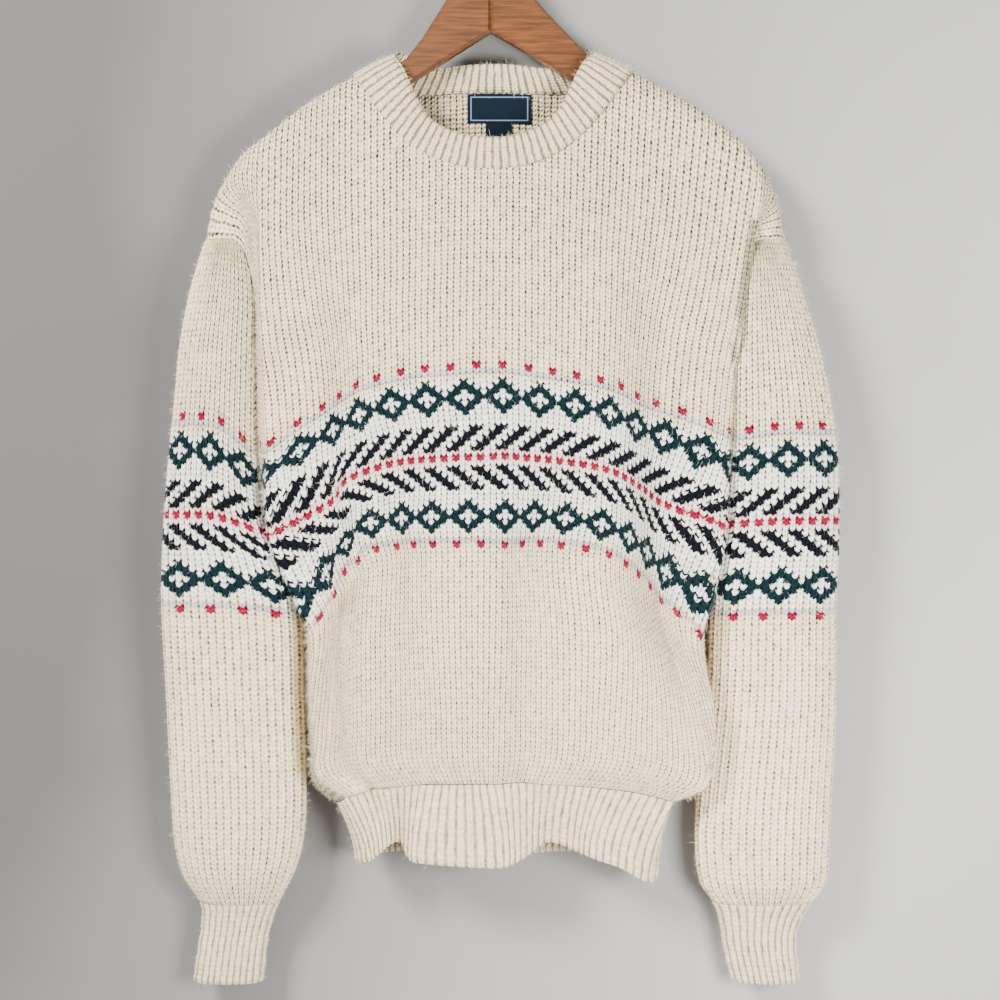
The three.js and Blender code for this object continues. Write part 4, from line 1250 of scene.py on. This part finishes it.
low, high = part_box("neck_label")
label_frame = [
    (low[0] + high[0]) / 2,
    (low[2] + high[2]) / 2,
    (high[0] - low[0]) / 2 - LINE_IN,
    (high[2] - low[2]) / 2 - LINE_IN,
]
repaint("neck_label", woven_material("label", label_frame))
repaint("size_tab", woven_material("tab"))


# Hanger: two arms of varnished wood with the grain along each of them, and a bright wire
# hook set in the wood between them.
WOOD_DARK = (0.055, 0.016, 0.003, 1)
WOOD_LIGHT = (0.155, 0.050, 0.009, 1)


def wood_material(name, slope):
    """Varnished wood: broad streaks and fine pores, both stretched along the arm's slope,
    which is the angle in radians by which it falls outwards."""
    n = Nodes(name)
    place = n.place()

    def grain(stretch, scale, detail):
        turned = {"Vector": place, "Rotation": (0, slope, 0), "Scale": stretch}
        return n.noise(scale, detail, n.add("ShaderNodeMapping", turned).outputs[0])

    streaks = grain((6, 40, 90), 5.0, 6.0)
    pores = grain((14, 200, 420), 6.0, 3.0)
    mixed = n.plus(n.times(streaks, 0.7), n.times(pores, 0.3))
    level = n.times(n.minus(mixed, 0.36), 3.4)
    return n.finish({
        "Base Color": n.blend(level, WOOD_DARK, WOOD_LIGHT),
        "Normal": n.bump(pores, 0.0002, 0.25),
        "Roughness": 0.36,
        "Coat Weight": 0.15,
        "Coat Roughness": 0.18,
    })


repaint("hanger_arm_left", wood_material("wood left", -0.93))
repaint("hanger_arm_right", wood_material("wood right", 0.93))
bright_wire = {"Base Color": (0.72, 0.72, 0.72, 1), "Metallic": 1.0, "Roughness": 0.2}
repaint("hook", Nodes("wire").finish(bright_wire))


# Stage: a pale wall just behind that is clear when seen from behind, a floor far below,
# and soft light from the upper left with a weak fill from the right.
WALL_Y = 34
FLOOR_Z = -1500
# The wall's colour runs between these two: painted shade to the left, painted light low down.
WALL_SHADED = (0.088, 0.085, 0.081, 1)
WALL_LIGHT = (0.375, 0.367, 0.354, 1)


def backdrop(name, corners, material):
    """A flat rectangle from its corners in millimetres, kept out of the model."""
    piece = mesh_piece(name, np.array(corners, float), np.array([[0, 1, 2], [0, 2, 3]]))
    piece.data.materials.append(material)


def plaster_material():
    """Painted plaster, clear from behind: painted shade darkens it to the left and painted
    light makes it a little lighter low down, and it is cloudy, by sums of the coordinates."""
    n = Nodes("plaster")
    place = n.split(n.place())
    # Painted shade to the left and painted light low down, over the cloudy plaster.
    across = n.line(place["X"], 1.25, 0.42)
    cloudy = n.times(n.minus(n.noise(3.0, 3.0), 0.5), 0.3)
    painted_light_low = n.times(n.larger(n.minus(-0.6, place["Z"]), 0.0), 0.6)
    level = n.plus(n.plus(across, cloudy), painted_light_low)
    share = n.maths("MINIMUM", n.larger(level, 0.0), 1.1)
    n.finish({"Base Color": n.blend(share, WALL_SHADED, WALL_LIGHT), "Roughness": 0.9})
    behind = n.add("ShaderNodeNewGeometry").outputs["Backfacing"]
    clear = n.add("ShaderNodeBsdfTransparent").outputs[0]
    either = n.add("ShaderNodeMixShader", {0: behind, 1: n.shader.outputs[0], 2: clear})
    n.set(n.tree.nodes["Material Output"].inputs["Surface"], either.outputs[0])
    return n.material


wall_corners = [(-1400, -1700), (1400, -1700), (1400, 700), (-1400, 700)]
backdrop("wall", [(x, WALL_Y, z) for x, z in wall_corners], plaster_material())
floor_corners = [(-3000, -3000), (3000, -3000), (3000, 3000), (-3000, 3000)]
floor_paint = Nodes("floor").finish({"Base Color": (0.6, 0.59, 0.58, 1), "Roughness": 0.8})
backdrop("floor", [(x, y, FLOOR_Z) for x, y in floor_corners], floor_paint)

world = bpy.data.worlds.new("world")
world.use_nodes = True
sky = world.node_tree.nodes["Background"].inputs
sky["Color"].default_value = (1.0, 0.985, 0.97, 1)
sky["Strength"].default_value = 0.45
bpy.context.scene.world = world


def lamp(name, place, target, size, power):
    """A square area light, turned from its place towards a target."""
    data = bpy.data.lights.new(name, "AREA")
    data.size = size
    data.energy = power
    light = bpy.data.objects.new(name, data)
    light.location = place
    way = np.array(target) - np.array(place)
    yaw = math.atan2(-way[0], way[1])
    pitch = math.atan2(way[2], math.hypot(way[0], way[1]))
    light.rotation_euler = (math.pi / 2 + pitch, 0, yaw)
    bpy.context.scene.collection.objects.link(light)


lamp("key", (-1.15, -1.35, 0.45), (0, 0, -0.5), 0.6, 113)
lamp("fill", (0.5, -0.95, -0.72), (0, 0, -0.66), 0.4, 27)
